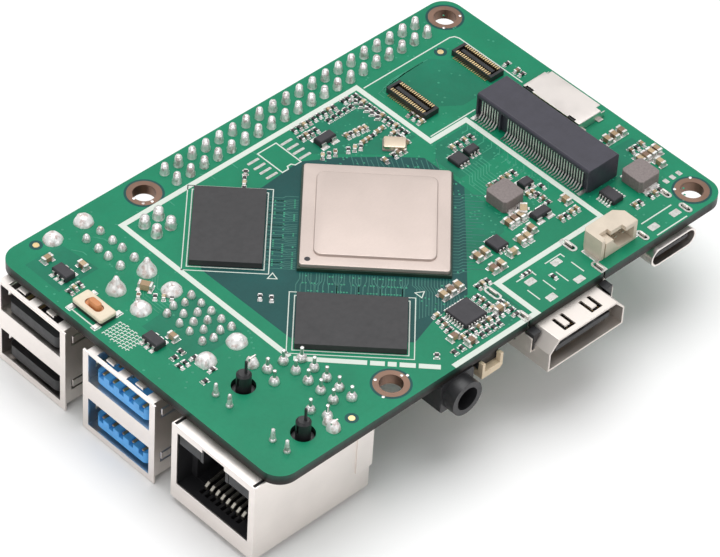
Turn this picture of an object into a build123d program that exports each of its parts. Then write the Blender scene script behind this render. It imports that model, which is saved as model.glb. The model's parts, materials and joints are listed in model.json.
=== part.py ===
from build123d import *
import os

# Single board computer, 85 x 56 mm, millimetres.
# Origin: centre of the mounting-hole pattern on the board's upper face, where the processor sits.
# +X runs from the USB and Ethernet edge to the memory-card edge, +Y from the video edge to the
# 40-pin header, +Z out of the processor side. The tall connectors hang below the board.

# ---- board -----------------------------------------------------------------------------------
BOARD_LENGTH = 85.0
BOARD_WIDTH = 56.0
BOARD_THICKNESS = 1.6
BOARD_CORNER_R = 3.0
HOLE_SPAN_X = 58.0
HOLE_SPAN_Y = 49.0
HOLE_R = 1.7
EDGE_TO_HOLE = 3.5
BOARD_X_MAX = HOLE_SPAN_X / 2 + EDGE_TO_HOLE
BOARD_X_MIN = BOARD_X_MAX - BOARD_LENGTH
UNDER = -BOARD_THICKNESS
SEAT_GAP = 0.05

# ---- pin headers -----------------------------------------------------------------------------
HEADER_PITCH = 2.54
HEADER_PIN = 0.64
HEADER_HEIGHT = 2.54
HEADER_PIN_LENGTH = 8.5
HEADER_TAIL = 1.2
HEADER_HOLE_R = 0.5
GPIO_COLUMNS = 20
GPIO_CENTRE = (0.0, HOLE_SPAN_Y / 2)
POWER_HEADER_COLUMNS = 2
POWER_HEADER_CENTRE = (-32.05, 18.3)

# ---- stacked USB sockets ---------------------------------------------------------------------
USB_FRONT = -54.2
USB_BACK = -36.6
USB_HALF_WIDTH = 6.65
USB_WALL = 0.3
USB_BOTTOM = -15.7
USB_PORT_Z = (-4.4, -12.6)
USB_LIP = 0.55
USB_TONGUE_FRONT = -53.7
USB_TONGUE_HALF = 5.2
USB_TONGUE_Z = (-1.9, -0.05)
USB_NOTCH_FLOOR = -0.8
USB_TAB_X = (-44.6, -39.1)
USB2_Y = 19.0
USB2_PIN_ROWS = (-41.2, -38.7)
USB3_Y = 1.0
USB3_PIN_ROWS = (-42.6, -41.0, -39.4, -37.8)
USB_FOUR_WIDE = (-3.5, -1.0, 1.0, 3.5)
USB_FIVE_WIDE = (-4.0, -2.0, 0.0, 2.0, 4.0)
USB_HOLE_R = 0.45
USB_TAB_HOLE_R = 1.15
PIN_TAIL = 0.9

# ---- Ethernet socket -------------------------------------------------------------------------
ETH_FRONT = -54.4
ETH_BACK = -33.4
ETH_Y = -17.75
ETH_HALF_WIDTH = 8.0
ETH_BOTTOM = -15.2
ETH_WALL = 0.25
ETH_SEAM = 0.45
ETH_PEG_X = -43.9
ETH_PEG_DY = 5.72
ETH_PEG_R = 1.05
ETH_PEG_HOLE_R = 1.7
ETH_PEG_TOP = 2.4
ETH_PEG_SPIKE_TOP = 4.5
ETH_PIN_PITCH = 2.4
ETH_PIN_ROWS = (-37.0, -34.8)
ETH_OUTER_PINS = ((-39.6, 5.75), (-40.5, 3.45))
ETH_PIN_R = 0.25
ETH_PIN_HOLE_R = 0.45
ETH_SIGNAL_TAIL = 2.2
ETH_LED_X = -47.8
ETH_LED_TAIL = 2.0
ETH_LED_DY = (-6.85, -4.15, 4.15, 6.85)
ETH_TAB_X = -40.4
ETH_CARRIER_X = -42.45

# ---- video, power and audio sockets on the long edge -----------------------------------------
HDMI_X = 0.6
HDMI_FRONT = -32.2
HDMI_BACK = -20.8
HDMI_TAB_DX = 7.3
HDMI_TAB_Y = (-21.1, -27.1)
USBC_X = 21.35
USBC_FRONT = -28.7
USBC_BACK = -21.3
USBC_WIDTH = 8.94
USBC_HEIGHT = 3.16
USBC_TAB_DX = 4.32
USBC_TAB_Y = (-22.5, -26.4)
AUDIO_X = -20.1
AUDIO_FACE = -28.2
AUDIO_BACK = -16.4
AUDIO_BARREL_FRONT = -30.2
AUDIO_BARREL_R = 2.7
AUDIO_BORE_R = 1.8
AUDIO_BORE_LENGTH = 12.6
AUDIO_AXIS_Z = -4.35

# ---- flat-cable sockets ----------------------------------------------------------------------
FLEX_PLACES = ((-13.8, -16.75), (28.0, 0.0))
FLEX_LENGTH = 21.7
FLEX_WAYS = 15
FLEX_SEAM_Z = -3.65
LATCH_LOW = -4.9
LATCH_TRAVEL = 0.8

# ---- upper-side sockets ----------------------------------------------------------------------
M2_X = (17.75, 23.2)
M2_Y = (-15.6, 6.3)
M2_HEIGHT = 4.2
M2_PITCH = 0.5
SD_X = (25.7, 31.0)
SD_Y = (-5.7, 5.5)
SD_HEIGHT = 1.45
MODULE_SOCKETS = ((12.3, 14.1), (25.1, 13.9))
MODULE_SOCKET_SIZE = (2.6, 8.0, 0.95)
MODULE_PITCH = 0.4
MODULE_WAYS = 17
FAN_X = (8.95, 15.95)
FAN_Y = (-26.15, -22.35)
FAN_HEIGHT = 3.4
FAN_PITCH = 1.5

# ---- button ----------------------------------------------------------------------------------
BUTTON_CENTRE = (-49.4, 11.4)
BUTTON_SIZE = (2.9, 5.9, 1.1)
BUTTON_DOME_TOP = 0.45
BUTTON_TRAVEL = 0.25

# ---- chips -----------------------------------------------------------------------------------
SOC_CENTRE = (-8.9, -0.6)
SOC_SIDE = 21.0
MEMORY_CHIPS = ((-25.2, 11.6, 45.0), (-25.4, -13.1, -45.0))
MEMORY_SIZE = (15.0, 10.0, 1.0)
CRYSTAL_CENTRE = (4.0, 9.1)
PMIC_CENTRE = (5.0, 6.0)
PHY_CENTRE = (-28.0, -13.0)


# ---- helpers ---------------------------------------------------------------------------------
def block(x0, x1, y0, y1, z0, z1):
    """Box given by its low and high faces."""
    middle = Pos((x0 + x1) / 2, (y0 + y1) / 2, (z0 + z1) / 2)
    return middle * Box(x1 - x0, y1 - y0, z1 - z0)


def slab(cx, cy, z0, size, turn=0.0, corner=0.0):
    """Box standing on z0, centred on (cx, cy), turned about Z, with rounded upright edges."""
    outline = RectangleRounded(size[0], size[1], corner) if corner else Rectangle(size[0], size[1])
    return Pos(cx, cy, z0) * Rot(0, 0, turn) * extrude(outline, size[2])


def rod(x, y, z0, z1, radius):
    """Upright round bar."""
    return Pos(x, y, (z0 + z1) / 2) * Cylinder(radius, z1 - z0)


def outline(points):
    return make_face(Polyline(*points, close=True))


def strip_outline(points, thickness):
    """Outline of a bent strip of even thickness whose middle follows the points."""
    path = [Vector(*p) for p in points]
    left = []
    right = []
    for i, point in enumerate(path):
        runs = []
        if i > 0:
            runs.append((point - path[i - 1]).normalized())
        if i < len(path) - 1:
            runs.append((path[i + 1] - point).normalized())
        normals = [Vector(-run.Y, run.X) for run in runs]
        mitre = sum(normals[1:], normals[0])
        mitre = mitre / (mitre.dot(normals[0]))
        left.append(point + mitre * (thickness / 2))
        right.append(point - mitre * (thickness / 2))
    return outline([(p.X, p.Y) for p in left + right[::-1]])


def bent_strip_xz(points, thickness, y, width):
    """Metal strip bent in the XZ plane and width wide along Y."""
    face = Plane.XZ * strip_outline(points, thickness)
    return Pos(0, y, 0) * extrude(face, width / 2, both=True)


def bent_strip_yz(points, thickness, x, width):
    """Metal strip bent in the YZ plane and width wide along X."""
    face = Plane.YZ * strip_outline(points, thickness)
    return Pos(x, 0, 0) * extrude(face, width / 2, both=True)


def prism_y(points, y0, y1):
    """Solid with an XZ outline that runs from y0 to y1."""
    face = Plane.XZ * outline(points)
    return Pos(0, y1, 0) * extrude(face, y1 - y0)


def group(solids):
    """Separate solids that share one node."""
    return Compound(children=list(solids))


# ---- board -----------------------------------------------------------------------------------
def header_pin_places(centre, columns):
    places = []
    for column in range(columns):
        for side in (-0.5, 0.5):
            x = centre[0] + (column - (columns - 1) / 2) * HEADER_PITCH
            places.append((x, centre[1] + side * HEADER_PITCH))
    return places


def usb2_pin_places():
    return [(x, USB2_Y + dy) for x in USB2_PIN_ROWS for dy in USB_FOUR_WIDE]


def usb3_pin_places():
    widths = (USB_FOUR_WIDE, USB_FIVE_WIDE, USB_FOUR_WIDE, USB_FIVE_WIDE)
    return [(x, USB3_Y + dy) for x, row in zip(USB3_PIN_ROWS, widths) for dy in row]


def ethernet_pin_places():
    places = []
    for row, x in enumerate(ETH_PIN_ROWS):
        for i in range(5):
            places.append((x, ETH_Y + (i - 2) * ETH_PIN_PITCH + 0.7 - 1.2 * row))
    places += [(x, ETH_Y + side * dy) for x, dy in ETH_OUTER_PINS for side in (-1, 1)]
    places += [(ETH_LED_X, ETH_Y + dy) for dy in ETH_LED_DY]
    return places


def build_board():
    plate = RectangleRounded(BOARD_LENGTH, BOARD_WIDTH, BOARD_CORNER_R)
    plate = Pos(BOARD_X_MAX - BOARD_LENGTH / 2, 0) * plate
    holes = [loc * Circle(HOLE_R) for loc in GridLocations(HOLE_SPAN_X, HOLE_SPAN_Y, 2, 2)]
    header_places = header_pin_places(GPIO_CENTRE, GPIO_COLUMNS)
    header_places += header_pin_places(POWER_HEADER_CENTRE, POWER_HEADER_COLUMNS)
    holes += [Pos(x, y) * Circle(HEADER_HOLE_R) for x, y in header_places]
    holes += [Pos(x, y) * Circle(USB_HOLE_R) for x, y in usb2_pin_places() + usb3_pin_places()]
    holes += [Pos(x, y) * Circle(ETH_PIN_HOLE_R) for x, y in ethernet_pin_places()]
    for side in (-1, 1):
        holes.append(Pos(ETH_PEG_X, ETH_Y + side * ETH_PEG_DY) * Circle(ETH_PEG_HOLE_R))
        holes.append(Pos(ETH_TAB_X, ETH_Y + side * (ETH_HALF_WIDTH - 0.15)) * Circle(0.95))
        for centre in (USB2_Y, USB3_Y):
            for x in USB_TAB_X:
                holes.append(Pos(x, centre + side * USB_HALF_WIDTH) * Circle(USB_TAB_HOLE_R))
        for y in HDMI_TAB_Y:
            holes.append(Pos(HDMI_X + side * HDMI_TAB_DX, y) * Rot(0, 0, 90) * SlotOverall(1.9, 0.8))
        for y in USBC_TAB_Y:
            holes.append(Pos(USBC_X + side * USBC_TAB_DX, y) * Rot(0, 0, 90) * SlotOverall(1.5, 0.7))
    return Pos(0, 0, UNDER) * extrude(plate - holes, BOARD_THICKNESS)


# ---- pin headers -----------------------------------------------------------------------------
def build_header(centre, columns):
    """Two-row header below the board: moulded block and square pins."""
    half_length = columns * HEADER_PITCH / 2
    low = UNDER - HEADER_HEIGHT
    body = block(centre[0] - half_length, centre[0] + half_length,
                 centre[1] - HEADER_PITCH, centre[1] + HEADER_PITCH, low, UNDER)
    notch = Rot(0, 0, 45) * Box(0.6, 0.6, HEADER_HEIGHT)
    notches = []
    for column in range(columns + 1):
        x = centre[0] - half_length + column * HEADER_PITCH
        for side in (-1, 1):
            notches.append(Pos(x, centre[1] + side * HEADER_PITCH, (low + UNDER) / 2) * notch)
    pins = []
    for x, y in header_pin_places(centre, columns):
        length = HEADER_PIN_LENGTH + BOARD_THICKNESS + HEADER_TAIL
        pin = Pos(x, y, HEADER_TAIL - length / 2) * Box(HEADER_PIN, HEADER_PIN, length)
        pins.append(chamfer(pin.edges().group_by(Axis.Z)[0], 0.15))
    return body - notches - pins, group(pins)


# ---- stacked USB sockets ---------------------------------------------------------------------
def spring_slot(x0, x1, half_width, z0, z1, centre_y):
    """U-shaped cut that frees a spring tongue in a sheet wall, open end towards +X."""
    ring = block(x0, x1, centre_y - half_width, centre_y + half_width, z0, z1)
    tongue = block(x0 + 0.35, x1 + 0.1, centre_y - half_width + 0.35, centre_y + half_width - 0.35, z0, z1)
    return ring - tongue


def finger_window(x0, x1, half_width, z0, z1, centre_y):
    """Wide window that leaves one spring finger, rooted at its +X side."""
    window = block(x0, x1, centre_y - half_width, centre_y + half_width, z0, z1)
    return window - block(x0 + 0.45, x1 + 0.1, centre_y - 0.75, centre_y + 0.75, z0, z1)


def usb_shell(centre_y, port_height):
    y0 = centre_y - USB_HALF_WIDTH
    y1 = centre_y + USB_HALF_WIDTH
    top = UNDER - SEAT_GAP
    case = block(USB_FRONT + 0.1, USB_BACK, y0, y1, USB_BOTTOM, top)
    case -= block(USB_FRONT - 1, USB_BACK - USB_WALL, y0 + USB_WALL, y1 - USB_WALL,
                  USB_BOTTOM + USB_WALL, top - USB_WALL)
    case -= block(-43.9, -37.1, centre_y - 5.7, centre_y + 5.7, top - 0.5, top + 0.1)
    rim = block(USB_FRONT, USB_FRONT + USB_WALL, y0 - USB_LIP, y1 + USB_LIP, USB_BOTTOM - 0.45, top)
    for z in USB_PORT_Z:
        rim -= block(USB_FRONT - 1, USB_FRONT + 1, centre_y - 6.1, centre_y + 6.1,
                     z - port_height / 2, z + port_height / 2)
    shell = case + rim
    band_top = USB_PORT_Z[0] - port_height / 2
    band_low = USB_PORT_Z[1] + port_height / 2
    shell += block(USB_FRONT + USB_WALL, -44.7, y0 + USB_WALL, y1 - USB_WALL, band_top - USB_WALL, band_top)
    shell += block(USB_FRONT + USB_WALL, -44.7, y0 + USB_WALL, y1 - USB_WALL, band_low, band_low + USB_WALL)
    for dy in (-2.9, 2.9):
        shell -= spring_slot(-52.6, -47.5, 1.1, USB_BOTTOM - 0.1, USB_BOTTOM + USB_WALL + 0.1, centre_y + dy)
        shell -= finger_window(-53.6, -50.5, 2.1, top - USB_WALL - 0.1, top + 0.1, centre_y + dy)
    for z in USB_PORT_Z:
        wall_slot = block(-52.6, -47.5, y0 - 0.1, y1 + 0.1, z - 0.9, z + 0.9)
        wall_slot -= block(-52.3, -47.4, y0 - 0.1, y1 + 0.1, z - 0.6, z + 0.6)
        shell -= wall_slot
    for x in USB_TAB_X:
        for y in (y0, y1 - USB_WALL):
            shell += block(x - 0.75, x + 0.75, y, y + USB_WALL, top, PIN_TAIL)
    return shell


def usb_insulator(centre_y, notch_places, contacts):
    """Rear block with a tongue in each port, notched along the tongue's front edge."""
    top = UNDER - SEAT_GAP
    body = block(-44.6, USB_BACK - USB_WALL - SEAT_GAP, centre_y - 6.3, centre_y + 6.3,
                 USB_BOTTOM + USB_WALL + SEAT_GAP, top - USB_WALL - SEAT_GAP)
    body += block(-43.8, -37.2, centre_y - 5.6, centre_y + 5.6, top - 0.5, UNDER)
    for z in USB_PORT_Z:
        tongue = block(USB_TONGUE_FRONT, -44.6, centre_y - USB_TONGUE_HALF, centre_y + USB_TONGUE_HALF,
                       z + USB_TONGUE_Z[0], z + USB_TONGUE_Z[1])
        body += fillet(tongue.edges().group_by(Axis.X)[0].filter_by(Axis.Z), 0.9)
        for y in [centre_y + dy for dy in notch_places]:
            body -= block(USB_TONGUE_FRONT - 0.1, -52.0, y - 0.45, y + 0.45,
                          z + USB_NOTCH_FLOOR, z + USB_TONGUE_Z[1] + 0.1)
    return body - contacts


def usb_contact(x_tip, x_riser, y, z, width):
    """Flat contact along a tongue that turns up through the board."""
    return bent_strip_xz([(x_tip, z), (x_riser, z), (x_riser, PIN_TAIL)], 0.2, y, width)


def usb2_contacts():
    contacts = []
    for z, riser in zip(USB_PORT_Z, USB2_PIN_ROWS):
        for dy in USB_FOUR_WIDE:
            contacts.append(usb_contact(-52.4, riser, USB2_Y + dy, z + USB_TONGUE_Z[1] - 0.05, 0.6))
    return contacts


def usb3_contacts():
    contacts = []
    for port, z in enumerate(USB_PORT_Z):
        riser = USB3_PIN_ROWS[2 * port]
        for dy in USB_FOUR_WIDE:
            contacts.append(usb_contact(-51.0, riser, USB3_Y + dy, z + USB_TONGUE_Z[1] - 0.05, 0.5))
        riser = USB3_PIN_ROWS[2 * port + 1]
        for dy in USB_FIVE_WIDE:
            path = [(-53.3, z - 0.25), (-51.8, z - 0.25), (-51.5, z - 0.85)]
            path += [(riser, z - 0.85), (riser, PIN_TAIL)]
            contacts.append(bent_strip_xz(path, 0.2, USB3_Y + dy, 0.4))
    return contacts


# ---- Ethernet socket -------------------------------------------------------------------------
def ethernet_cavity():
    """Plug space with its latch notch on the board side."""
    plug = block(ETH_FRONT - 1, -42.8, ETH_Y - 5.9, ETH_Y + 5.9, -12.2, -5.0)
    notch = block(ETH_FRONT - 1, -45.0, ETH_Y - 2.1, ETH_Y + 2.1, -5.1, -2.15)
    return plug + notch


def ethernet_shell():
    y0 = ETH_Y - ETH_HALF_WIDTH
    y1 = ETH_Y + ETH_HALF_WIDTH
    top = UNDER - SEAT_GAP
    case = block(ETH_FRONT, ETH_BACK, y0, y1, ETH_BOTTOM, top)
    case -= block(ETH_FRONT + ETH_WALL, ETH_BACK - ETH_WALL, y0 + ETH_WALL, y1 - ETH_WALL,
                  ETH_BOTTOM + ETH_WALL, top - ETH_WALL)
    case -= block(-50.5, -34.1, y0 + 0.8, y1 - 0.8, top - 1, top + 0.1)
    window = block(ETH_FRONT - 1, ETH_FRONT + 1, ETH_Y - 6.9, ETH_Y + 6.9, -12.3, -2.8)
    window += block(ETH_FRONT - 1, ETH_FRONT + 1, ETH_Y - 2.1, ETH_Y + 2.1, -2.9, -2.15)
    case -= window
    for seam in (y0 + ETH_WALL, y1 - ETH_WALL - ETH_SEAM):
        case -= block(ETH_FRONT + ETH_WALL, -50.4, seam, seam + ETH_SEAM, top - ETH_WALL - 0.05, top + 0.1)
    for side, face in ((-1, y0), (1, y1)):
        ys = sorted((face, face + side * ETH_WALL))
        case += block(-36.1, ETH_BACK + ETH_WALL, ys[0], ys[1], -11.2, top - 0.4)
        low = min(face, face - side * ETH_WALL)
        case += block(ETH_TAB_X - 0.6, ETH_TAB_X + 0.6, low, low + ETH_WALL, top, 1.5)
    case += block(ETH_BACK, ETH_BACK + ETH_WALL, y0, y1, -11.2, top - 0.4)
    for dy in (-4.2, 0.0, 4.2):
        case -= spring_slot(-52.8, -47.5, 1.0, ETH_BOTTOM - 0.1, ETH_BOTTOM + ETH_WALL + 0.1, ETH_Y + dy)
    return case


def ethernet_light_pipes():
    """Two clear blocks at the corners of the opening on the board side."""
    pipes = []
    for side in (-1, 1):
        ys = sorted((ETH_Y + side * 2.7, ETH_Y + side * 6.8))
        pipes.append(block(ETH_FRONT + 0.3, -46.2, ys[0], ys[1], -4.9, -2.6))
    return pipes


def ethernet_contacts():
    """Eight spring wires that rise from the far lip of the plug space."""
    wires = []
    for i in range(8):
        y = ETH_Y + (i - 3.5) * 1.02
        path = [(-44.6, -10.2), (-51.5, -11.45), (-52.0, -11.85), (-51.9, -12.6)]
        path += [(-51.3, -12.95), (-41.8, -12.95)]
        wires.append(bent_strip_xz(path, 0.3, y, 0.42))
    return wires


def ethernet_pins():
    """Signal and lamp pins below the socket's rear and front."""
    pins = []
    for x, y in ethernet_pin_places():
        length = 2.6 if x > ETH_LED_X + 1 else 1.0
        tail = ETH_SIGNAL_TAIL if x > ETH_LED_X + 1 else ETH_LED_TAIL
        pins.append(rod(x, y, UNDER - length, tail, ETH_PIN_R))
    return pins


def ethernet_inner_board():
    return block(-41.6, -34.2, ETH_Y - 6.6, ETH_Y + 6.6, -9.2, -8.4)


def ethernet_transformers():
    """Wound ring cores that stand on the inner circuit board."""
    cores = []
    for i in range(4):
        ring = Cylinder(1.4, 1.6) - Cylinder(0.5, 1.6)
        cores.append(Pos(-38.0, ETH_Y + (i - 1.5) * 3.2, -10.85) * Rot(0, 90, 0) * ring)
    return cores


def ethernet_peg(y):
    """Split snap peg through the board, with a thin moulding spike on its end."""
    column = rod(ETH_PEG_X, y, UNDER, ETH_PEG_TOP, ETH_PEG_R)
    column = chamfer(column.edges().group_by(Axis.Z)[-1], 0.3)
    column -= block(ETH_PEG_X - 2, ETH_PEG_X + 2, y - 0.17, y + 0.17, 0.4, ETH_PEG_TOP - 0.5)
    spike_size = (0.22, 0.35, ETH_PEG_SPIKE_TOP - ETH_PEG_TOP + 0.2)
    spike = slab(ETH_PEG_X + 0.15, y - 0.2, ETH_PEG_TOP - 0.2, spike_size)
    return rod(ETH_PEG_X, y, UNDER, -0.9, ETH_PEG_HOLE_R - 0.1) + column + spike


def ethernet_housing(carved):
    """Front moulding: plug space, windows for the lamps, and two board pegs."""
    top = UNDER - SEAT_GAP
    body = block(-54.1, ETH_CARRIER_X, ETH_Y - 7.7, ETH_Y + 7.7, ETH_BOTTOM + 0.3, top - 0.3)
    body += block(-50.4, ETH_CARRIER_X, ETH_Y - 7.1, ETH_Y + 7.1, top - 0.4, UNDER)
    body -= ethernet_cavity()
    body -= block(-54.5, -51.6, ETH_Y - 6.9, ETH_Y + 6.9, -12.3, -5.0)
    for side in (-1, 1):
        ys = sorted((ETH_Y + side * 2.65, ETH_Y + side * 6.9))
        body -= block(-55.0, -46.1, ys[0], ys[1], -5.0, -2.5)
        body += ethernet_peg(ETH_Y + side * ETH_PEG_DY)
    for i in range(8):
        y = ETH_Y + (i - 3.5) * 1.02
        body -= block(-53.1, -44.0, y - 0.28, y + 0.28, -13.2, -12.0)
    return body - carved


def ethernet_carrier(carved):
    """Rear moulding that holds the wires and pins, with a pocket for the inner circuit board."""
    top = UNDER - SEAT_GAP
    front = ETH_CARRIER_X + SEAT_GAP
    body = block(front, -33.7, ETH_Y - 7.7, ETH_Y + 7.7, ETH_BOTTOM + 0.3, top - 0.3)
    body += block(front, -34.2, ETH_Y - 7.1, ETH_Y + 7.1, top - 0.4, UNDER - SEAT_GAP)
    body -= block(-42.0, -34.0, ETH_Y - 6.9, ETH_Y + 6.9, -13.2, -8.0)
    return body - carved


# ---- video socket ----------------------------------------------------------------------------
def hdmi_profile(grow):
    """D outline with its narrow side towards the board; grow offsets it outwards."""
    half_narrow = 5.45 + 0.6 * grow
    half_wide = 7.0 + grow
    top = -1.95 + grow
    low = -6.35 - grow
    return [(HDMI_X - half_narrow, top), (HDMI_X + half_narrow, top),
            (HDMI_X + half_wide, -3.6 + 0.4 * grow), (HDMI_X + half_wide, low),
            (HDMI_X - half_wide, low), (HDMI_X - half_wide, -3.6 + 0.4 * grow)]


def hdmi_shell():
    wall = 0.3
    shell = prism_y(hdmi_profile(wall), HDMI_FRONT + 0.3, HDMI_BACK)
    shell += prism_y(hdmi_profile(wall), HDMI_FRONT, HDMI_FRONT + 0.3)
    shell -= prism_y(hdmi_profile(0), HDMI_FRONT - 1, HDMI_BACK - wall)
    for dx in (-2.6, 2.6):
        x = HDMI_X + dx
        for y0, y1, z0, z1 in ((-31.35, -28.7, -2.05, -1.55), (-28.5, -26.0, -6.75, -6.25)):
            cut = block(x - 1.05, x + 1.05, y0, y1, z0, z1)
            cut -= block(x - 0.5, x + 0.5, y0 + 0.6, y1 + 0.1, z0, z1)
            shell -= cut
    shell -= block(HDMI_X - 5.0, HDMI_X + 5.0, -22.6, HDMI_BACK + 1, -2.4, -1.5)
    for side in (-1, 1):
        x0, x1 = sorted((HDMI_X + side * 7.3, HDMI_X + side * 7.9))
        shell += block(x0, x1, -29.3, -20.9, -4.75, -4.45)
        wing = sorted((HDMI_X + side * 7.65, HDMI_X + side * 7.9))
        shell += block(wing[0], wing[1], -29.3, -27.7, -4.75, -2.2)
        for y in HDMI_TAB_Y:
            shell += block(wing[0], wing[1], y - 0.7, y + 0.7, -4.75, -1.65)
            tab = sorted((HDMI_X + side * 7.15, HDMI_X + side * 7.9))
            shell += block(tab[0], tab[1], y - 0.7, y + 0.7, -1.95, -1.65)
            leg = sorted((HDMI_X + side * 7.15, HDMI_X + side * 7.4))
            shell += block(leg[0], leg[1], y - 0.7, y + 0.7, -1.95, 0.5)
    return shell


def hdmi_contacts():
    contacts = []
    for i in range(19):
        x = HDMI_X + (i - 9) * 0.5
        side = 1 if i % 2 == 0 else -1
        z = -4.15 + side * 0.45
        path = [(-31.0, z), (-22.3, z), (-22.3, -1.75), (-20.3, -1.75)]
        if side < 0:
            path = [(-31.0, z), (-23.3, z), (-23.3, -4.1), (-21.7, -4.1), (-21.7, -1.75), (-20.3, -1.75)]
        contacts.append(bent_strip_yz(path, 0.15, x, 0.24))
    return contacts


def hdmi_insulator(contacts):
    base = prism_y(hdmi_profile(-SEAT_GAP), -25.5, HDMI_BACK - 0.3 - SEAT_GAP)
    tongue = block(HDMI_X - 5.2, HDMI_X + 5.2, -31.4, -25.5, -4.6, -3.7)
    body = base + tongue
    pieces = [body - contacts]
    for side in (-1, 1):
        ear = [(HDMI_X + side * 6.15, -1.65), (HDMI_X + side * 7.6, -1.65), (HDMI_X + side * 7.6, -4.4),
               (HDMI_X + side * 7.38, -4.4), (HDMI_X + side * 7.38, -3.3)]
        block_ear = prism_y(ear, -29.4, -27.95)
        pieces.append(block_ear)
    return pieces


# ---- USB-C power socket ----------------------------------------------------------------------
def usbc_tube(shrink, y0, y1):
    profile = Plane.XZ * RectangleRounded(USBC_WIDTH - 2 * shrink, USBC_HEIGHT - 2 * shrink,
                                          USBC_HEIGHT / 2 - shrink - 0.01)
    z = UNDER - SEAT_GAP - USBC_HEIGHT / 2
    return Pos(USBC_X, y1, z) * extrude(profile, y1 - y0)


def usbc_shell():
    shell = usbc_tube(0, USBC_FRONT, USBC_BACK) - usbc_tube(0.3, USBC_FRONT - 1, USBC_BACK - 0.3)
    z = UNDER - SEAT_GAP - USBC_HEIGHT / 2
    shell -= block(USBC_X - 3.1, USBC_X + 3.1, -22.6, USBC_BACK + 1, -2.2, -1.5)
    for side in (-1, 1):
        for y in USBC_TAB_Y:
            xs = sorted((USBC_X + side * (USBC_WIDTH / 2 - 0.3), USBC_X + side * USBC_WIDTH / 2))
            shell += block(xs[0], xs[1], y - 0.5, y + 0.5, z, 0.5)
    return shell


def usbc_contacts():
    contacts = []
    z = UNDER - SEAT_GAP - USBC_HEIGHT / 2
    for i in range(12):
        x = USBC_X + (i - 5.5) * 0.5
        for side in (-1, 1):
            zc = z + side * 0.3
            path = [(-27.4, zc), (-22.2, zc), (-22.2, -1.72), (-20.7, -1.72)]
            if side < 0:
                path = path[:2]
            contacts.append(bent_strip_yz(path, 0.1, x, 0.22))
    return contacts


def usbc_insulator(contacts):
    z = UNDER - SEAT_GAP - USBC_HEIGHT / 2
    base = usbc_tube(0.3 + SEAT_GAP, -24.6, USBC_BACK - 0.3 - SEAT_GAP)
    tongue = block(USBC_X - 3.35, USBC_X + 3.35, -28.2, -24.6, z - 0.35, z + 0.35)
    return base + tongue - contacts


# ---- audio socket ----------------------------------------------------------------------------
def audio_body(contacts):
    low = -6.8
    body = block(AUDIO_X - 3.0, AUDIO_X + 3.0, AUDIO_FACE, AUDIO_BACK, low, UNDER)
    body = chamfer(body.edges().filter_by(Axis.Y), 0.3)
    length = AUDIO_FACE - AUDIO_BARREL_FRONT + 0.5
    barrel = Rot(90, 0, 0) * Cylinder(AUDIO_BARREL_R, length)
    body += Pos(AUDIO_X, AUDIO_FACE + 0.5 - length / 2, AUDIO_AXIS_Z) * barrel
    bore = Rot(90, 0, 0) * Cylinder(AUDIO_BORE_R, AUDIO_BORE_LENGTH)
    body -= Pos(AUDIO_X, AUDIO_BARREL_FRONT + AUDIO_BORE_LENGTH / 2, AUDIO_AXIS_Z) * bore
    return body - contacts


def audio_contacts():
    """Four side springs, each with a foot on the board's underside."""
    contacts = []
    for side, y in ((-1, -26.2), (-1, -20.0), (1, -24.0), (1, -18.6)):
        x_in = AUDIO_X + side * 2.3
        x_out = AUDIO_X + side * 3.15
        path = [(x_in, -5.9), (x_in, -2.6), (x_out, -2.6), (x_out, UNDER - 0.1)]
        path.append((x_out + side * 0.4, UNDER - 0.1))
        contacts.append(bent_strip_xz(path, 0.2, y, 1.2))
    return contacts


# ---- flat-cable sockets ----------------------------------------------------------------------
def flex_contacts(x, middle):
    """Spring contacts with feet that leave both sides in turn."""
    contacts = []
    for i in range(FLEX_WAYS):
        y = middle + (i - (FLEX_WAYS - 1) / 2) * 1.0
        side = 1 if i % 2 == 0 else -1
        foot = UNDER - 0.1
        path = [(x + side * 2.6, foot), (x + side * 1.95, foot), (x + side * 1.5, foot),
                (x + side * 0.75, foot - 0.55), (x + side * 0.75, FLEX_SEAM_Z + 0.25)]
        contacts.append(bent_strip_xz(path, 0.2, y, 0.35))
    return contacts


def flex_housing(x, middle, contacts):
    half = FLEX_LENGTH / 2
    body = block(x - 1.9, x + 1.9, middle - half, middle + half, FLEX_SEAM_Z, UNDER)
    body -= block(x - 0.65, x + 0.65, middle - 8.4, middle + 8.4, FLEX_SEAM_Z - 1, -2.6)
    body -= contacts
    return body


def flex_latch(x, middle):
    """Collar that slides out to free the cable: frame, wedge blade and a leg at each corner."""
    half = FLEX_LENGTH / 2
    high = FLEX_SEAM_Z - SEAT_GAP
    frame = block(x - 1.95, x + 1.95, middle - half - 0.95, middle + half + 0.95, LATCH_LOW, high)
    frame -= block(x - 0.15, x + 0.75, middle - 8.3, middle + 8.3, LATCH_LOW - 1, high + 1)
    frame = chamfer(frame.edges().group_by(Axis.Z)[0].filter_by(Axis.Y).sort_by(Axis.X)[-1], 0.5)
    blade = block(x - 0.5, x - 0.15, middle - 8.2, middle + 8.2, high, high + LATCH_TRAVEL + 0.1)
    latch = frame + blade
    for side_y in (-1, 1):
        y0, y1 = sorted((middle + side_y * (half + 0.1), middle + side_y * (half + 0.95)))
        for side_x in (-1, 1):
            x0, x1 = sorted((x + side_x * 1.4, x + side_x * 1.95))
            latch += block(x0, x1, y0, y1, high, high + LATCH_TRAVEL + 0.7)
    return latch


# ---- expansion-card socket -------------------------------------------------------------------
def m2_contact_rows():
    rear = [M2_Y[1] - 0.9 - i * M2_PITCH for i in range(7)]
    rear += [0.3 - i * M2_PITCH for i in range(30)]
    front = [y - M2_PITCH / 2 for y in rear]
    return rear, front


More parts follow.
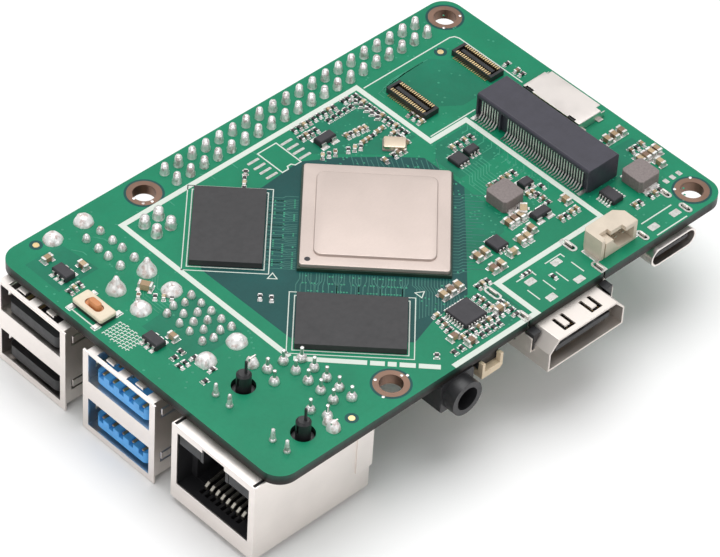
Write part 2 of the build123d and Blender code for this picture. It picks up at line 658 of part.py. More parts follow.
def m2_contacts():
    rear, front = m2_contact_rows()
    contacts = []
    for y in rear:
        path = [(16.2, 0.08), (17.0, 0.08), (17.55, 0.75), (17.55, 3.35), (18.3, 3.72), (21.6, 3.6)]
        contacts.append(bent_strip_xz(path, 0.16, y, 0.2))
    for y in front:
        path = [(24.2, 0.08), (23.0, 0.08), (22.4, 0.7), (20.6, 0.7), (20.6, 2.0), (22.2, 2.3)]
        contacts.append(bent_strip_xz(path, 0.16, y, 0.24))
    for y in (M2_Y[1] - 0.35, M2_Y[0] + 0.7):
        contacts.append(block(16.1, 17.7, y - 0.3, y + 0.3, 0.0, 0.16))
    return contacts


def m2_housing(contacts):
    body = block(M2_X[0], M2_X[1], M2_Y[0], M2_Y[1], 0, M2_HEIGHT)
    body += block(17.15, M2_X[0], M2_Y[0], M2_Y[1], 3.45, M2_HEIGHT)
    for y in (M2_Y[0] + 0.15, M2_Y[1] - 0.15, 1.7):
        body += block(17.15, M2_X[0], y - 0.15, y + 0.15, 0.3, 3.5)
    body -= block(19.9, M2_X[1] + 1, M2_Y[0] + 0.9, 1.2, 2.4, 3.5)
    body -= block(19.9, M2_X[1] + 1, 2.2, M2_Y[1] - 0.7, 2.4, 3.5)
    body -= block(M2_X[1] - 1.5, M2_X[1] + 1, M2_Y[0] + 0.9, M2_Y[1] - 0.7, -0.1, 0.35)
    body = chamfer(body.edges().filter_by(Axis.Y).group_by(Axis.Z)[-1], 0.25)
    return body - contacts


# ---- memory-card socket ----------------------------------------------------------------------
def sd_cover():
    """Pressed cover: flat top with two folded sides, notched at the inner edge."""
    wall = 0.15
    cover = block(SD_X[0], SD_X[1], SD_Y[0], SD_Y[1], 0.02, SD_HEIGHT)
    cover -= block(SD_X[0] - 1, SD_X[1] + 1, SD_Y[0] + wall, SD_Y[1] - wall, -1, SD_HEIGHT - wall)
    cover = fillet(cover.edges().filter_by(Axis.X).group_by(Axis.Z)[-1], 0.14)
    for y0, y1 in ((3.6, 5.0), (-4.7, -3.4)):
        cover -= block(SD_X[0] - 1, SD_X[0] + 0.45, y0, y1, 0.5, 2)
    cover -= block(SD_X[1] - 0.85, SD_X[1] + 1, 4.9, 6, 1.0, 2)
    cover -= block(SD_X[1] - 0.85, SD_X[1] + 1, -6, -4.7, 1.0, 2)
    for y in (SD_Y[0] - 0.5, SD_Y[1] + 0.5):
        for x in (SD_X[0] + 0.6, SD_X[1] - 1.2):
            y0, y1 = sorted((y, SD_Y[0] + wall if y < 0 else SD_Y[1] - wall))
            cover += block(x - 0.5, x + 0.5, y0, y1, 0.02, 0.17)
    return cover


def sd_contacts():
    contacts = []
    for i in range(8):
        y = -0.1 + (i - 3.5) * 1.1
        path = [(SD_X[0] - 0.9, 0.08), (SD_X[0] + 0.2, 0.08), (SD_X[0] + 0.7, 0.45), (SD_X[0] + 3.2, 0.75)]
        contacts.append(bent_strip_xz(path, 0.12, y, 0.5))
    return contacts


def sd_base(contacts):
    base = block(SD_X[0] + 0.15, SD_X[1] - 0.4, SD_Y[0] + 0.25, SD_Y[1] - 0.25, 0, 0.4)
    base += block(SD_X[0] + 0.15, SD_X[0] + 0.9, SD_Y[0] + 0.25, SD_Y[1] - 0.25, 0.35, 1.2)
    return base - contacts


# ---- module connectors -----------------------------------------------------------------------
def module_contacts(cx, cy):
    contacts = []
    for i in range(MODULE_WAYS):
        y = cy + (i - (MODULE_WAYS - 1) / 2) * MODULE_PITCH
        for side in (-1, 1):
            path = [(side * 1.75, 0.07), (side * 1.15, 0.07), (side * 1.15, 0.95),
                    (side * 0.7, 0.95), (side * 0.7, 0.35)]
            contacts.append(bent_strip_xz([(cx + dx, z) for dx, z in path], 0.1, y, 0.2))
    return contacts


def module_housing(cx, cy, contacts):
    width, length, height = MODULE_SOCKET_SIZE
    body = slab(cx, cy, 0, (width, length, height))
    moat = slab(cx, cy, 0.25, (1.6, length - 0.9, height))
    island = slab(cx, cy, 0.2, (0.62, length - 1.7, height - 0.3))
    return body - (moat - island) - contacts


# ---- two-pin fan socket ----------------------------------------------------------------------
def fan_pins():
    pins = []
    for side in (-0.5, 0.5):
        path = [(-25.2, 1.5), (-22.8, 1.5), (-21.95, 1.1), (-21.95, 0.1), (-21.2, 0.1)]
        pins.append(bent_strip_yz(path, 0.2, 13.5 + side * FAN_PITCH, 0.5))
    return pins


def fan_nails():
    nails = []
    for x0, x1 in ((FAN_X[0] - 0.55, FAN_X[0] + 0.35), (FAN_X[1] - 0.35, FAN_X[1] + 0.55)):
        nails.append(block(x0, x1, -25.8, -23.4, 0.0, 0.2))
    return nails


def fan_housing(carved):
    """Side-entry housing: keyed mouth in front, notched top, low guard beside the mouth."""
    x0, x1 = FAN_X
    y0, y1 = FAN_Y
    body = block(x0, x1, y0, y1, 0, FAN_HEIGHT)
    uprights = body.edges().filter_by(Axis.Z)
    rear_right = uprights.group_by(Axis.Y)[-1].sort_by(Axis.X)[-1]
    body = chamfer(rear_right, 1.3)
    rear_left = body.edges().filter_by(Axis.Z).group_by(Axis.X)[0].sort_by(Axis.Y)[-1]
    body = chamfer(rear_left, 0.6)
    body = fillet(body.edges().group_by(Axis.Z)[-1].filter_by(Axis.X), 0.2)
    mouth = [(x0 + 2.3, 2.7), (x0 + 2.3, 2.2), (x0 + 3.6, 0.45), (x1 - 0.6, 0.45), (x1 - 0.6, 2.7)]
    body -= prism_y(mouth, y0 - 1, -22.95)
    body -= block(x0 + 2.4, x0 + 4.7, y0 - 1, y0 + 0.8, 2.6, FAN_HEIGHT + 1)
    body -= block(x0 + 0.85, x0 + 2.5, y0 - 1, y0 + 1.5, 2.6, FAN_HEIGHT + 1)
    body -= block(x0 + 0.6, x0 + 0.85, y0 - 1, y0 + 0.35, -1, FAN_HEIGHT + 1)
    return body - carved


# ---- button ----------------------------------------------------------------------------------
def button_body():
    cx, cy = BUTTON_CENTRE
    width, length, height = BUTTON_SIZE
    body = slab(cx, cy, 0, (width, length, height), corner=0.35)
    body = chamfer(body.edges().group_by(Axis.Z)[-1], 0.12)
    body -= slab(cx, cy, 0.35, (1.5, 3.1, height), corner=0.7)
    return body


def button_actuator():
    cx, cy = BUTTON_CENTRE
    low = BUTTON_DOME_TOP + BUTTON_TRAVEL + 0.08
    foot = slab(cx, cy, low, (1.35, 2.95, 0.1), corner=0.6)
    key = slab(cx, cy - 0.15, low, (1.0, 2.1, 1.1), corner=0.48)
    return foot + fillet(key.edges().group_by(Axis.Z)[-1], 0.2)


def button_dome():
    cx, cy = BUTTON_CENTRE
    return slab(cx, cy, BUTTON_DOME_TOP - 0.1, (1.2, 2.6, 0.1), corner=0.5)


def button_terminals():
    cx, cy = BUTTON_CENTRE
    legs = []
    for side_x in (-1, 1):
        for side_y in (-1, 1):
            x0, x1 = sorted((cx + side_x * BUTTON_SIZE[0] / 2, cx + side_x * (BUTTON_SIZE[0] / 2 + 0.95)))
            y = cy + side_y * 2.55
            legs.append(block(x0, x1, y - 0.35, y + 0.35, 0.0, 0.25))
    return legs


# ---- chips -----------------------------------------------------------------------------------
def soc_substrate():
    return slab(SOC_CENTRE[0], SOC_CENTRE[1], 0.0, (SOC_SIDE, SOC_SIDE, 0.55), turn=45)


def soc_lid():
    rim_side = SOC_SIDE - 0.5
    rim = slab(SOC_CENTRE[0], SOC_CENTRE[1], 0.55, (rim_side, rim_side, 0.55), turn=45, corner=0.5)
    rim = fillet(rim.edges().group_by(Axis.Z)[-1], 0.12)
    plateau = slab(SOC_CENTRE[0], SOC_CENTRE[1], 1.05, (16.8, 16.8, 0.4), turn=45, corner=1.2)
    plateau = fillet(plateau.edges().group_by(Axis.Z)[-1], 0.15)
    return rim + plateau


def memory_chips():
    return [slab(cx, cy, 0, MEMORY_SIZE, turn=turn) for cx, cy, turn in MEMORY_CHIPS]


def inductor(cx, cy, z, side, height):
    """Square moulded choke with clipped corners, standing on the given face."""
    body = slab(cx, cy, min(z, z + height), (side, side, abs(height)))
    body = chamfer(body.edges().filter_by(Axis.Z), 0.4)
    end = -1 if height > 0 else 0
    return fillet(body.edges().group_by(Axis.Z)[end], 0.15)


def crystal_can():
    can = slab(*CRYSTAL_CENTRE, 0.25, (3.2, 2.3, 0.55), turn=-45, corner=0.35)
    return fillet(can.edges().group_by(Axis.Z)[-1], 0.12)


def crystal_base():
    return slab(*CRYSTAL_CENTRE, 0, (3.4, 2.5, 0.25), turn=-45, corner=0.15)


def leaded_chip(cx, cy, size, lead_span, per_side, pitch, turn=0.0, four_sides=False, under=False):
    """Moulded chip and its gull-wing leads; under mounts it on the board's lower face."""
    width, length, height = size
    body = slab(0, 0, 0.05, (width, length, height - 0.05))
    body = chamfer(body.edges().group_by(Axis.Z)[-1], min(0.12, height / 6))
    leads = []
    lead = [(width / 2 - 0.1, height * 0.55), (width / 2 + 0.15, height * 0.55),
            (lead_span / 2 - 0.4, 0.08), (lead_span / 2, 0.08)]
    for quarter in range(4 if four_sides else 2):
        angle = 90 * quarter if four_sides else 180 * quarter
        for i in range(per_side):
            across = (i - (per_side - 1) / 2) * pitch
            leads.append(Rot(0, 0, angle) * bent_strip_xz(lead, 0.1, across, pitch * 0.45))
    body -= leads
    if under:
        place = Pos(cx, cy, UNDER) * Rot(180, 0, turn)
    else:
        place = Pos(cx, cy, 0) * Rot(0, 0, turn)
    return place * body, [place * one for one in leads]


# centre, mounting face, side, height (negative hangs below the board)
INDUCTORS = (
    (7.6, -9.0, 0.0, 4.0, 2.0), (24.9, -18.4, 0.0, 4.0, 2.0),
    (-2.6, 3.4, UNDER, 4.0, -2.0), (-2.6, 8.6, UNDER, 4.0, -2.0), (12.6, 6.0, UNDER, 4.0, -2.0),
)

# centre, body size, span over the leads, leads a side, lead pitch, turn
SMALL_CHIPS = (
    (-48.0, 19.3, (1.7, 2.9, 1.0), 2.9, 3, 0.95, 0.0),
    (-47.5, 1.6, (1.7, 2.9, 1.0), 2.9, 3, 0.95, 0.0),
    (-2.7, 16.2, (1.4, 2.9, 1.0), 2.7, 2, 1.9, 90.0),
    (9.3, -14.3, (1.4, 2.8, 0.9), 2.6, 2, 1.9, 90.0),
    (12.1, -8.6, (1.4, 1.9, 0.9), 2.4, 2, 1.2, 90.0),
    (0.4, -14.7, (2.4, 2.2, 0.8), 3.2, 3, 0.65, 90.0),
    (8.6, 1.0, (2.2, 2.2, 0.7), 2.9, 3, 0.65, 90.0),
    (11.2, 1.2, (1.3, 2.0, 0.9), 2.2, 3, 0.65, 90.0),
    (19.3, -18.2, (1.9, 2.9, 0.9), 3.4, 5, 0.5, 0.0),
)

# place, size along its long axis, turn
CAPACITORS = (
    (-12.2, -17.2, 1.6, 90), (-10.8, -17.2, 1.6, 90), (-9.4, -17.2, 1.6, 90),
    (27.4, -9.7, 1.6, 90), (28.8, -9.7, 1.6, 90), (30.2, -9.7, 1.6, 90),
    (-3.4, -14.8, 1.6, 90), (-2.0, -14.8, 1.6, 90), (-3.4, -17.9, 1.6, 90), (-2.0, -17.9, 1.6, 90),
    (-47.8, 22.9, 1.6, 0), (-45.0, 18.8, 1.6, 90), (-45.0, 0.6, 1.6, 90), (-41.4, 10.2, 2.0, 120),
    (29.6, -17.8, 1.6, 90), (-16.8, -23.8, 1.6, 0), (-8.4, -24.0, 1.6, 0), (-15.6, -25.9, 1.6, 0),
    (0.9, -17.3, 1.6, 0), (6.2, -15.6, 1.6, 90), (14.0, -14.6, 1.6, 90), (7.9, -12.4, 2.0, 45),
)
RESISTORS = (
    (-18.6, -25.9, 90), (-17.3, -25.9, 90), (-13.5, -25.9, 90), (-12.4, -25.9, 90), (-11.3, -25.9, 90),
    (-10.2, -25.9, 90), (-20.9, -24.8, 45), (-47.4, -2.3, 0), (-45.9, -2.1, 90), (-47.3, -8.2, 0),
    (-15.6, 18.5, 45), (0.6, 18.9, 90), (1.7, 18.9, 90), (2.8, 18.9, 90), (3.9, 18.9, 90), (5.0, 18.9, 90),
    (6.2, 19.3, 45), (6.2, 18.2, 45), (6.2, 17.1, 45), (6.2, 16.0, 45), (6.2, 14.9, 45),
)


def under_capacitor_places():
    """Decoupling capacitors around the two chips below the board."""
    places = [(PMIC_CENTRE[0] + (i - 2.5) * 1.7, PMIC_CENTRE[1] + side * 6.3, 1.6, 90)
              for i in range(6) for side in (-1, 1)]
    places += [(PHY_CENTRE[0] + (i - 1.5) * 1.7, PHY_CENTRE[1] + 5.4, 1.6, 90) for i in range(4)]
    return places


def chip_passives():
    """Ceramic capacitors and chip resistors: bodies between two tinned end caps."""
    capacitor_bodies = []
    resistor_bodies = []
    ends = []
    mounted = [(Pos(x, y, 0) * Rot(0, 0, turn), length) for x, y, length, turn in CAPACITORS]
    mounted += [(Pos(x, y, UNDER) * Rot(180, 0, turn), length)
                for x, y, length, turn in under_capacitor_places()]
    for place, length in mounted:
        width = length / 2
        capacitor_bodies.append(place * slab(0, 0, 0, (length - 0.7, width, width)))
        for side in (-1, 1):
            cap = slab(side * (length / 2 - 0.175), 0, 0, (0.35, width + 0.02, width + 0.02))
            ends.append(place * cap)
    for x, y, turn in RESISTORS:
        place = Pos(x, y, 0) * Rot(0, 0, turn)
        resistor_bodies.append(place * slab(0, 0, 0, (0.6, 0.5, 0.33)))
        for side in (-1, 1):
            ends.append(place * slab(side * 0.4, 0, 0, (0.2, 0.52, 0.35)))
    return capacitor_bodies, resistor_bodies, ends


# ---- assembly --------------------------------------------------------------------------------
def build_nodes():
    nodes = {"circuit_board": build_board()}
    headers = (("gpio", GPIO_CENTRE, GPIO_COLUMNS), ("power", POWER_HEADER_CENTRE, POWER_HEADER_COLUMNS))
    for name, centre, columns in headers:
        nodes[name + "_header_block"], nodes[name + "_header_pins"] = build_header(centre, columns)

    contacts = usb2_contacts()
    nodes["usb2_shell"] = usb_shell(USB2_Y, 4.7)
    nodes["usb2_insulator"] = usb_insulator(USB2_Y, (), contacts)
    nodes["usb2_contacts"] = group(contacts)
    contacts = usb3_contacts()
    nodes["usb3_shell"] = usb_shell(USB3_Y, 5.0)
    nodes["usb3_insulator"] = usb_insulator(USB3_Y, USB_FIVE_WIDE, contacts)
    nodes["usb3_contacts"] = group(contacts)

    nodes["ethernet_shell"] = ethernet_shell()
    contacts = ethernet_contacts()
    pins = ethernet_pins()
    nodes["ethernet_housing"] = ethernet_housing(contacts + pins)
    nodes["ethernet_contact_carrier"] = ethernet_carrier(contacts + pins)
    nodes["ethernet_contacts"] = group(contacts)
    nodes["ethernet_pins"] = group(pins)
    nodes["ethernet_light_pipes"] = group(ethernet_light_pipes())
    nodes["ethernet_inner_board"] = ethernet_inner_board()
    nodes["ethernet_transformers"] = group(ethernet_transformers())

    contacts = hdmi_contacts()
    nodes["hdmi_shell"] = hdmi_shell()
    nodes["hdmi_insulator"] = group(hdmi_insulator(contacts))
    nodes["hdmi_contacts"] = group(contacts)
    contacts = usbc_contacts()
    nodes["usbc_shell"] = usbc_shell()
    nodes["usbc_insulator"] = usbc_insulator(contacts)
    nodes["usbc_contacts"] = group(contacts)
    contacts = audio_contacts()
    nodes["audio_socket_body"] = audio_body(contacts)
    nodes["audio_socket_contacts"] = group(contacts)

    for name, (x, middle) in zip(("camera", "display"), FLEX_PLACES):
        contacts = flex_contacts(x, middle)
        nodes[name + "_socket_housing"] = flex_housing(x, middle, contacts)
        nodes[name + "_socket_latch"] = flex_latch(x, middle)
        nodes[name + "_socket_contacts"] = group(contacts)

    contacts = m2_contacts()
    nodes["card_socket_housing"] = m2_housing(contacts)
    nodes["card_socket_contacts"] = group(contacts)
    contacts = sd_contacts()
    nodes["memory_card_cover"] = sd_cover()
    nodes["memory_card_base"] = sd_base(contacts)
    nodes["memory_card_contacts"] = group(contacts)
    housings = []
    module_pins = []
    for cx, cy in MODULE_SOCKETS:
        contacts = module_contacts(cx, cy)
        housings.append(module_housing(cx, cy, contacts))
        module_pins += contacts
    nodes["module_socket_housings"] = group(housings)
    nodes["module_socket_contacts"] = group(module_pins)
    pins = fan_pins()
    nails = fan_nails()
    nodes["fan_socket_housing"] = fan_housing(pins + nails)
    nodes["fan_socket_pins"] = group(pins + nails)

    nodes["button_body"] = button_body()
    nodes["button_actuator"] = button_actuator()
    nodes["button_dome"] = button_dome()
    nodes["button_terminals"] = group(button_terminals())

    nodes["processor_substrate"] = soc_substrate()
    nodes["processor_lid"] = soc_lid()
    nodes["memory_chips"] = group(memory_chips())
    nodes["power_inductors"] = group(inductor(*place) for place in INDUCTORS)
    nodes["crystal_base"] = crystal_base()
    nodes["crystal_can"] = crystal_can()

    body, leads = leaded_chip(-12.4, -21.7, (4.0, 4.0, 0.85), 5.0, 7, 0.5, four_sides=True)
    nodes["audio_codec_chip"] = body
    lead_solids = list(leads)
    small_bodies = []
    for cx, cy, size, span, per_side, pitch, turn in SMALL_CHIPS:
        body, leads = leaded_chip(cx, cy, size, span, per_side, pitch, turn)
        small_bodies.append(body)
        lead_solids += leads
    nodes["small_chips"] = group(small_bodies)
    body, leads = leaded_chip(*PMIC_CENTRE, (7.0, 7.0, 0.9), 8.2, 12, 0.5, four_sides=True, under=True)
    nodes["power_management_chip"] = body
    lead_solids += leads
    body, leads = leaded_chip(*PHY_CENTRE, (6.0, 6.0, 0.9), 7.2, 10, 0.5, four_sides=True, under=True)
    nodes["ethernet_phy_chip"] = body
    lead_solids += leads
    nodes["chip_leads"] = group(lead_solids)

    capacitor_bodies, resistor_bodies, ends = chip_passives()
    nodes["capacitor_bodies"] = group(capacitor_bodies)
    nodes["resistor_bodies"] = group(resistor_bodies)
    nodes["chip_end_caps"] = group(ends)
    return nodes


os.makedirs("parts", exist_ok=True)
for node_name, shape in build_nodes().items():
    export_step(shape, "parts/" + node_name + ".step")
    print(node_name)
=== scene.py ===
import json
import math
import random

import bmesh
import bpy
from mathutils import Matrix, Vector


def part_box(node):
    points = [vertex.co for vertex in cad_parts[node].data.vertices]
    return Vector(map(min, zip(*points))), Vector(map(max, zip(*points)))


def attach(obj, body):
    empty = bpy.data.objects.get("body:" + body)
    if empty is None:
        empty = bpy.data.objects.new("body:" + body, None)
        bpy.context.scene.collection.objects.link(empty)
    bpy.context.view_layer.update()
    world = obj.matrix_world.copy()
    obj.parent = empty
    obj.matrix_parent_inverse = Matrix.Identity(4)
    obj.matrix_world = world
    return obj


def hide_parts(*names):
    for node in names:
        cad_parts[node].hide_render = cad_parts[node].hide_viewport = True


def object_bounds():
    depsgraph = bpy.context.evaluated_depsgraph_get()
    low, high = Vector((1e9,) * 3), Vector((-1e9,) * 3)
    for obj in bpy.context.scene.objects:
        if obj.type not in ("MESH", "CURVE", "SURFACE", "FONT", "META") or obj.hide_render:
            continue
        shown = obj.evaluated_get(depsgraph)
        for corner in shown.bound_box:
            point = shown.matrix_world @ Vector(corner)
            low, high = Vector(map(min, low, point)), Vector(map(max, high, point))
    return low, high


# Looks of the single board computer. Lengths are millimetres unless a comment says otherwise.

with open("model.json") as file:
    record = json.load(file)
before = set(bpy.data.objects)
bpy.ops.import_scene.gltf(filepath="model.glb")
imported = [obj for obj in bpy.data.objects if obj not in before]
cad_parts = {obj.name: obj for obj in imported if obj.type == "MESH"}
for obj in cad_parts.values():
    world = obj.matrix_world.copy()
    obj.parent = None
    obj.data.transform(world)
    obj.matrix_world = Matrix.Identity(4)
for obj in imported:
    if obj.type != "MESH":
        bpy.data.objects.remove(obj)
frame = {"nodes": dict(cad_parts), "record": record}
cad_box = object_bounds()
MM = 0.001
ROOT = "board"
MASKED = "solder_mask"
TINNED = "tinned_copper"
NODES = frame["nodes"]
BODY_OF = {n: body for body, members in frame["record"]["behaviour"]["bodies"].items() for n in members}
UPPER = 0.0
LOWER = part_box("circuit_board")[0].z / MM
EDGE_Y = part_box("circuit_board")[0].y / MM
SEED = 7
WELD = 2e-7  # metres within which corner points are one
ROUNDED_ABOVE = 35  # degrees between faces
SHARPEST_MITRE = 0.25
draw = random.Random(SEED)


# ---- mesh building ----
class Build:
    """Collects closed solids, in millimetres, and turns them into one piece."""

    def __init__(self):
        self.points = []
        self.faces = []

    def add(self, points, faces):
        start = len(self.points)
        self.points += [tuple(p) for p in points]
        self.faces += [tuple(i + start for i in face) for face in faces]

    def prism(self, outline, z0, z1, top=None):
        """Upright solid between an outline at z0 and the same outline, or top, at z1."""
        n = len(outline)
        top = top or outline
        points = [(x, y, z0) for x, y in outline] + [(x, y, z1) for x, y in top]
        faces = [tuple(range(n - 1, -1, -1)), tuple(range(n, 2 * n))]
        faces += [(i, (i + 1) % n, n + (i + 1) % n, n + i) for i in range(n)]
        self.add(points, faces)

    def slab(self, cx, cy, size_x, size_y, z0, z1, turn=0.0, corner=0.0):
        """Block on a turned rectangle."""
        self.prism(rectangle(cx, cy, size_x, size_y, turn, corner), z0, z1)

    def lathe(self, x, y, profile, sides, wobble=0.0):
        """Turned solid from (radius, height) pairs, low to high; the last radius is 0."""
        points = []
        waves = [draw.uniform(-wobble, wobble) for _ in range(sides)] if wobble else [0.0] * sides
        for radius, z in profile[:-1]:
            for i in range(sides):
                angle = 2 * math.pi * i / sides
                r = radius * (1 + waves[i])
                points.append((x + r * math.cos(angle), y + r * math.sin(angle), z))
        points.append((x, y, profile[-1][1]))
        bands = len(profile) - 2
        last = bands * sides
        faces = [tuple(range(sides - 1, -1, -1))]
        for band in range(bands):
            faces += band_faces(band * sides, (band + 1) * sides, sides)
        faces += [(last + i, last + (i + 1) % sides, last + sides) for i in range(sides)]
        self.add(points, faces)

    def ring(self, x, y, inner, outer, z0, z1):
        """Flat washer."""
        sides = 40
        points = []
        for radius, z in ((inner, z0), (outer, z0), (outer, z1), (inner, z1)):
            for i in range(sides):
                angle = 2 * math.pi * i / sides
                points.append((x + radius * math.cos(angle), y + radius * math.sin(angle), z))
        faces = []
        for level in range(4):
            faces += band_faces(level * sides, (level + 1) % 4 * sides, sides)
        self.add(points, faces)

    def ribbon(self, route, width, z0, z1, closed=False):
        """Flat strip with mitred corners along a route of (x, y) points."""
        left, right = offset_route(route, width / 2, closed)
        n = len(route)
        points = [(x, y, z) for z in (z0, z1) for side in (left, right) for x, y in side]
        faces = []
        for i in range(n if closed else n - 1):
            j = (i + 1) % n
            faces.append((n + i, n + j, j, i))
            faces.append((2 * n + i, 2 * n + j, 3 * n + j, 3 * n + i))
            faces.append((i, j, 2 * n + j, 2 * n + i))
            faces.append((n + j, n + i, 3 * n + i, 3 * n + j))
        if not closed:
            faces.append((0, 2 * n, 3 * n, n))
            faces.append((n - 1, 2 * n - 1, 4 * n - 1, 3 * n - 1))
        self.add(points, faces)

    def piece(self, name, material, slot, bevel=0.0, smooth=None):
        """One piece of the board body. Smooth is the sharp-edge angle in degrees, None is flat."""
        mesh = bpy.data.meshes.new(name)
        mesh.from_pydata([(x * MM, y * MM, z * MM) for x, y, z in self.points], [], self.faces)
        fix = bmesh.new()
        fix.from_mesh(mesh)
        bmesh.ops.recalc_face_normals(fix, faces=fix.faces)
        fix.to_mesh(mesh)
        fix.free()
        mesh.materials.append(material)
        shade(mesh, smooth)
        piece = placed(name, mesh)
        if bevel:
            round_edges(piece, bevel)
        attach(piece, ROOT)


def band_faces(low, high, sides):
    """Faces between two rings of points that start at low and high."""
    return [(low + i, low + (i + 1) % sides, high + (i + 1) % sides, high + i) for i in range(sides)]


def placed(name, data):
    thing = bpy.data.objects.new(name, data)
    bpy.context.scene.collection.objects.link(thing)
    return thing


def rectangle(cx, cy, size_x, size_y, turn=0.0, corner=0.0):
    """Corner points of a turned rectangle, with round corners if asked."""
    hx = size_x / 2
    hy = size_y / 2
    if corner:
        points = []
        for sx, sy, start in ((1, 1, 0), (-1, 1, 90), (-1, -1, 180), (1, -1, 270)):
            for step in range(5):
                angle = math.radians(start + step * 22.5)
                points.append((sx * (hx - corner) + corner * math.cos(angle),
                               sy * (hy - corner) + corner * math.sin(angle)))
    else:
        points = [(hx, hy), (-hx, hy), (-hx, -hy), (hx, -hy)]
    return [turned(x, y, turn, cx, cy) for x, y in points]


def turned(x, y, degrees, cx, cy):
    """A point turned about the origin and then moved."""
    c = math.cos(math.radians(degrees))
    s = math.sin(math.radians(degrees))
    return cx + x * c - y * s, cy + x * s + y * c


def offset_route(route, half, closed):
    """The two edges of a strip whose middle is the route."""
    n = len(route)
    left = []
    right = []
    for i in range(n):
        before = route[i - 1] if (closed or i > 0) else None
        after = route[(i + 1) % n] if (closed or i < n - 1) else None
        normals = []
        for a, b in ((before, route[i]), (route[i], after)):
            if a is None or b is None:
                continue
            run = Vector((b[0] - a[0], b[1] - a[1])).normalized()
            normals.append(Vector((-run.y, run.x)))
        mitre = sum(normals[1:], normals[0])
        mitre = mitre / max(SHARPEST_MITRE, mitre.dot(normals[0]))
        here = Vector(route[i])
        left.append(tuple(here + mitre * half))
        right.append(tuple(here - mitre * half))
    return left, right


def shade(mesh, smooth):
    """Smooth shading with sharp edges above an angle in degrees, or flat shading."""
    if smooth is None:
        mesh.shade_flat()
        return
    mesh.shade_smooth()
    mesh.set_sharp_from_angle(angle=math.radians(smooth))


def round_edges(piece, width, segments=2):
    """Bevel on the sharp edges of a piece; width in millimetres."""
    bevel = piece.modifiers.new("round", "BEVEL")
    bevel.width = width * MM
    bevel.segments = segments
    bevel.limit_method = "ANGLE"
    bevel.angle_limit = math.radians(ROUNDED_ABOVE)
    bevel.miter_outer = "MITER_ARC"
    bevel.harden_normals = True
    piece.data.shade_smooth()


def welded(node):
    """A CAD node's mesh opened for work, with the corner points of its faces joined."""
    work = bmesh.new()
    work.from_mesh(NODES[node].data)
    bmesh.ops.remove_doubles(work, verts=work.verts, dist=WELD)
    return work


def refined(node, material, bevel, segments=2):
    """A copy of a CAD node with rounded edges, which stands for the node."""
    mesh = NODES[node].data.copy()
    clean = welded(node)
    bmesh.ops.join_triangles(clean, faces=clean.faces, angle_face_threshold=0.01,
                             angle_shape_threshold=3.0)
    clean.to_mesh(mesh)
    clean.free()
    if "custom_normal" in mesh.attributes:
        mesh.attributes.remove(mesh.attributes["custom_normal"])
    mesh.materials.clear()
    mesh.materials.append(material)
    piece = placed(node + "_finished", mesh)
    round_edges(piece, bevel, segments)
    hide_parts(node)
    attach(piece, BODY_OF[node])


def islands(node):
    """Corner points of each separate solid of a CAD node, in millimetres."""
    scan = welded(node)
    scan.verts.ensure_lookup_table()
    seen = set()
    solids = []
    for start in scan.verts:
        if start.index in seen:
            continue
        seen.add(start.index)
        stack = [start]
        points = []
        while stack:
            vert = stack.pop()
            points.append(vert.co / MM)
            for edge in vert.link_edges:
                other = edge.other_vert(vert)
                if other.index not in seen:
                    seen.add(other.index)
                    stack.append(other)
        solids.append(points)
    scan.free()
    return solids


def tips(node, above, reach):
    """Middles (x, y) of the ends of a node's pins that stand above a height."""
    found = []
    for vert in NODES[node].data.vertices:
        p = vert.co / MM
        if p.z < above:
            continue
        for group in found:
            if math.hypot(group[0].x - p.x, group[0].y - p.y) < reach:
                group.append(p)
                break
        else:
            found.append([p])
    middles = []
    for group in found:
        xs = [p.x for p in group]
        ys = [p.y for p in group]
        middles.append(((min(xs) + max(xs)) / 2, (min(ys) + max(ys)) / 2))
    return middles


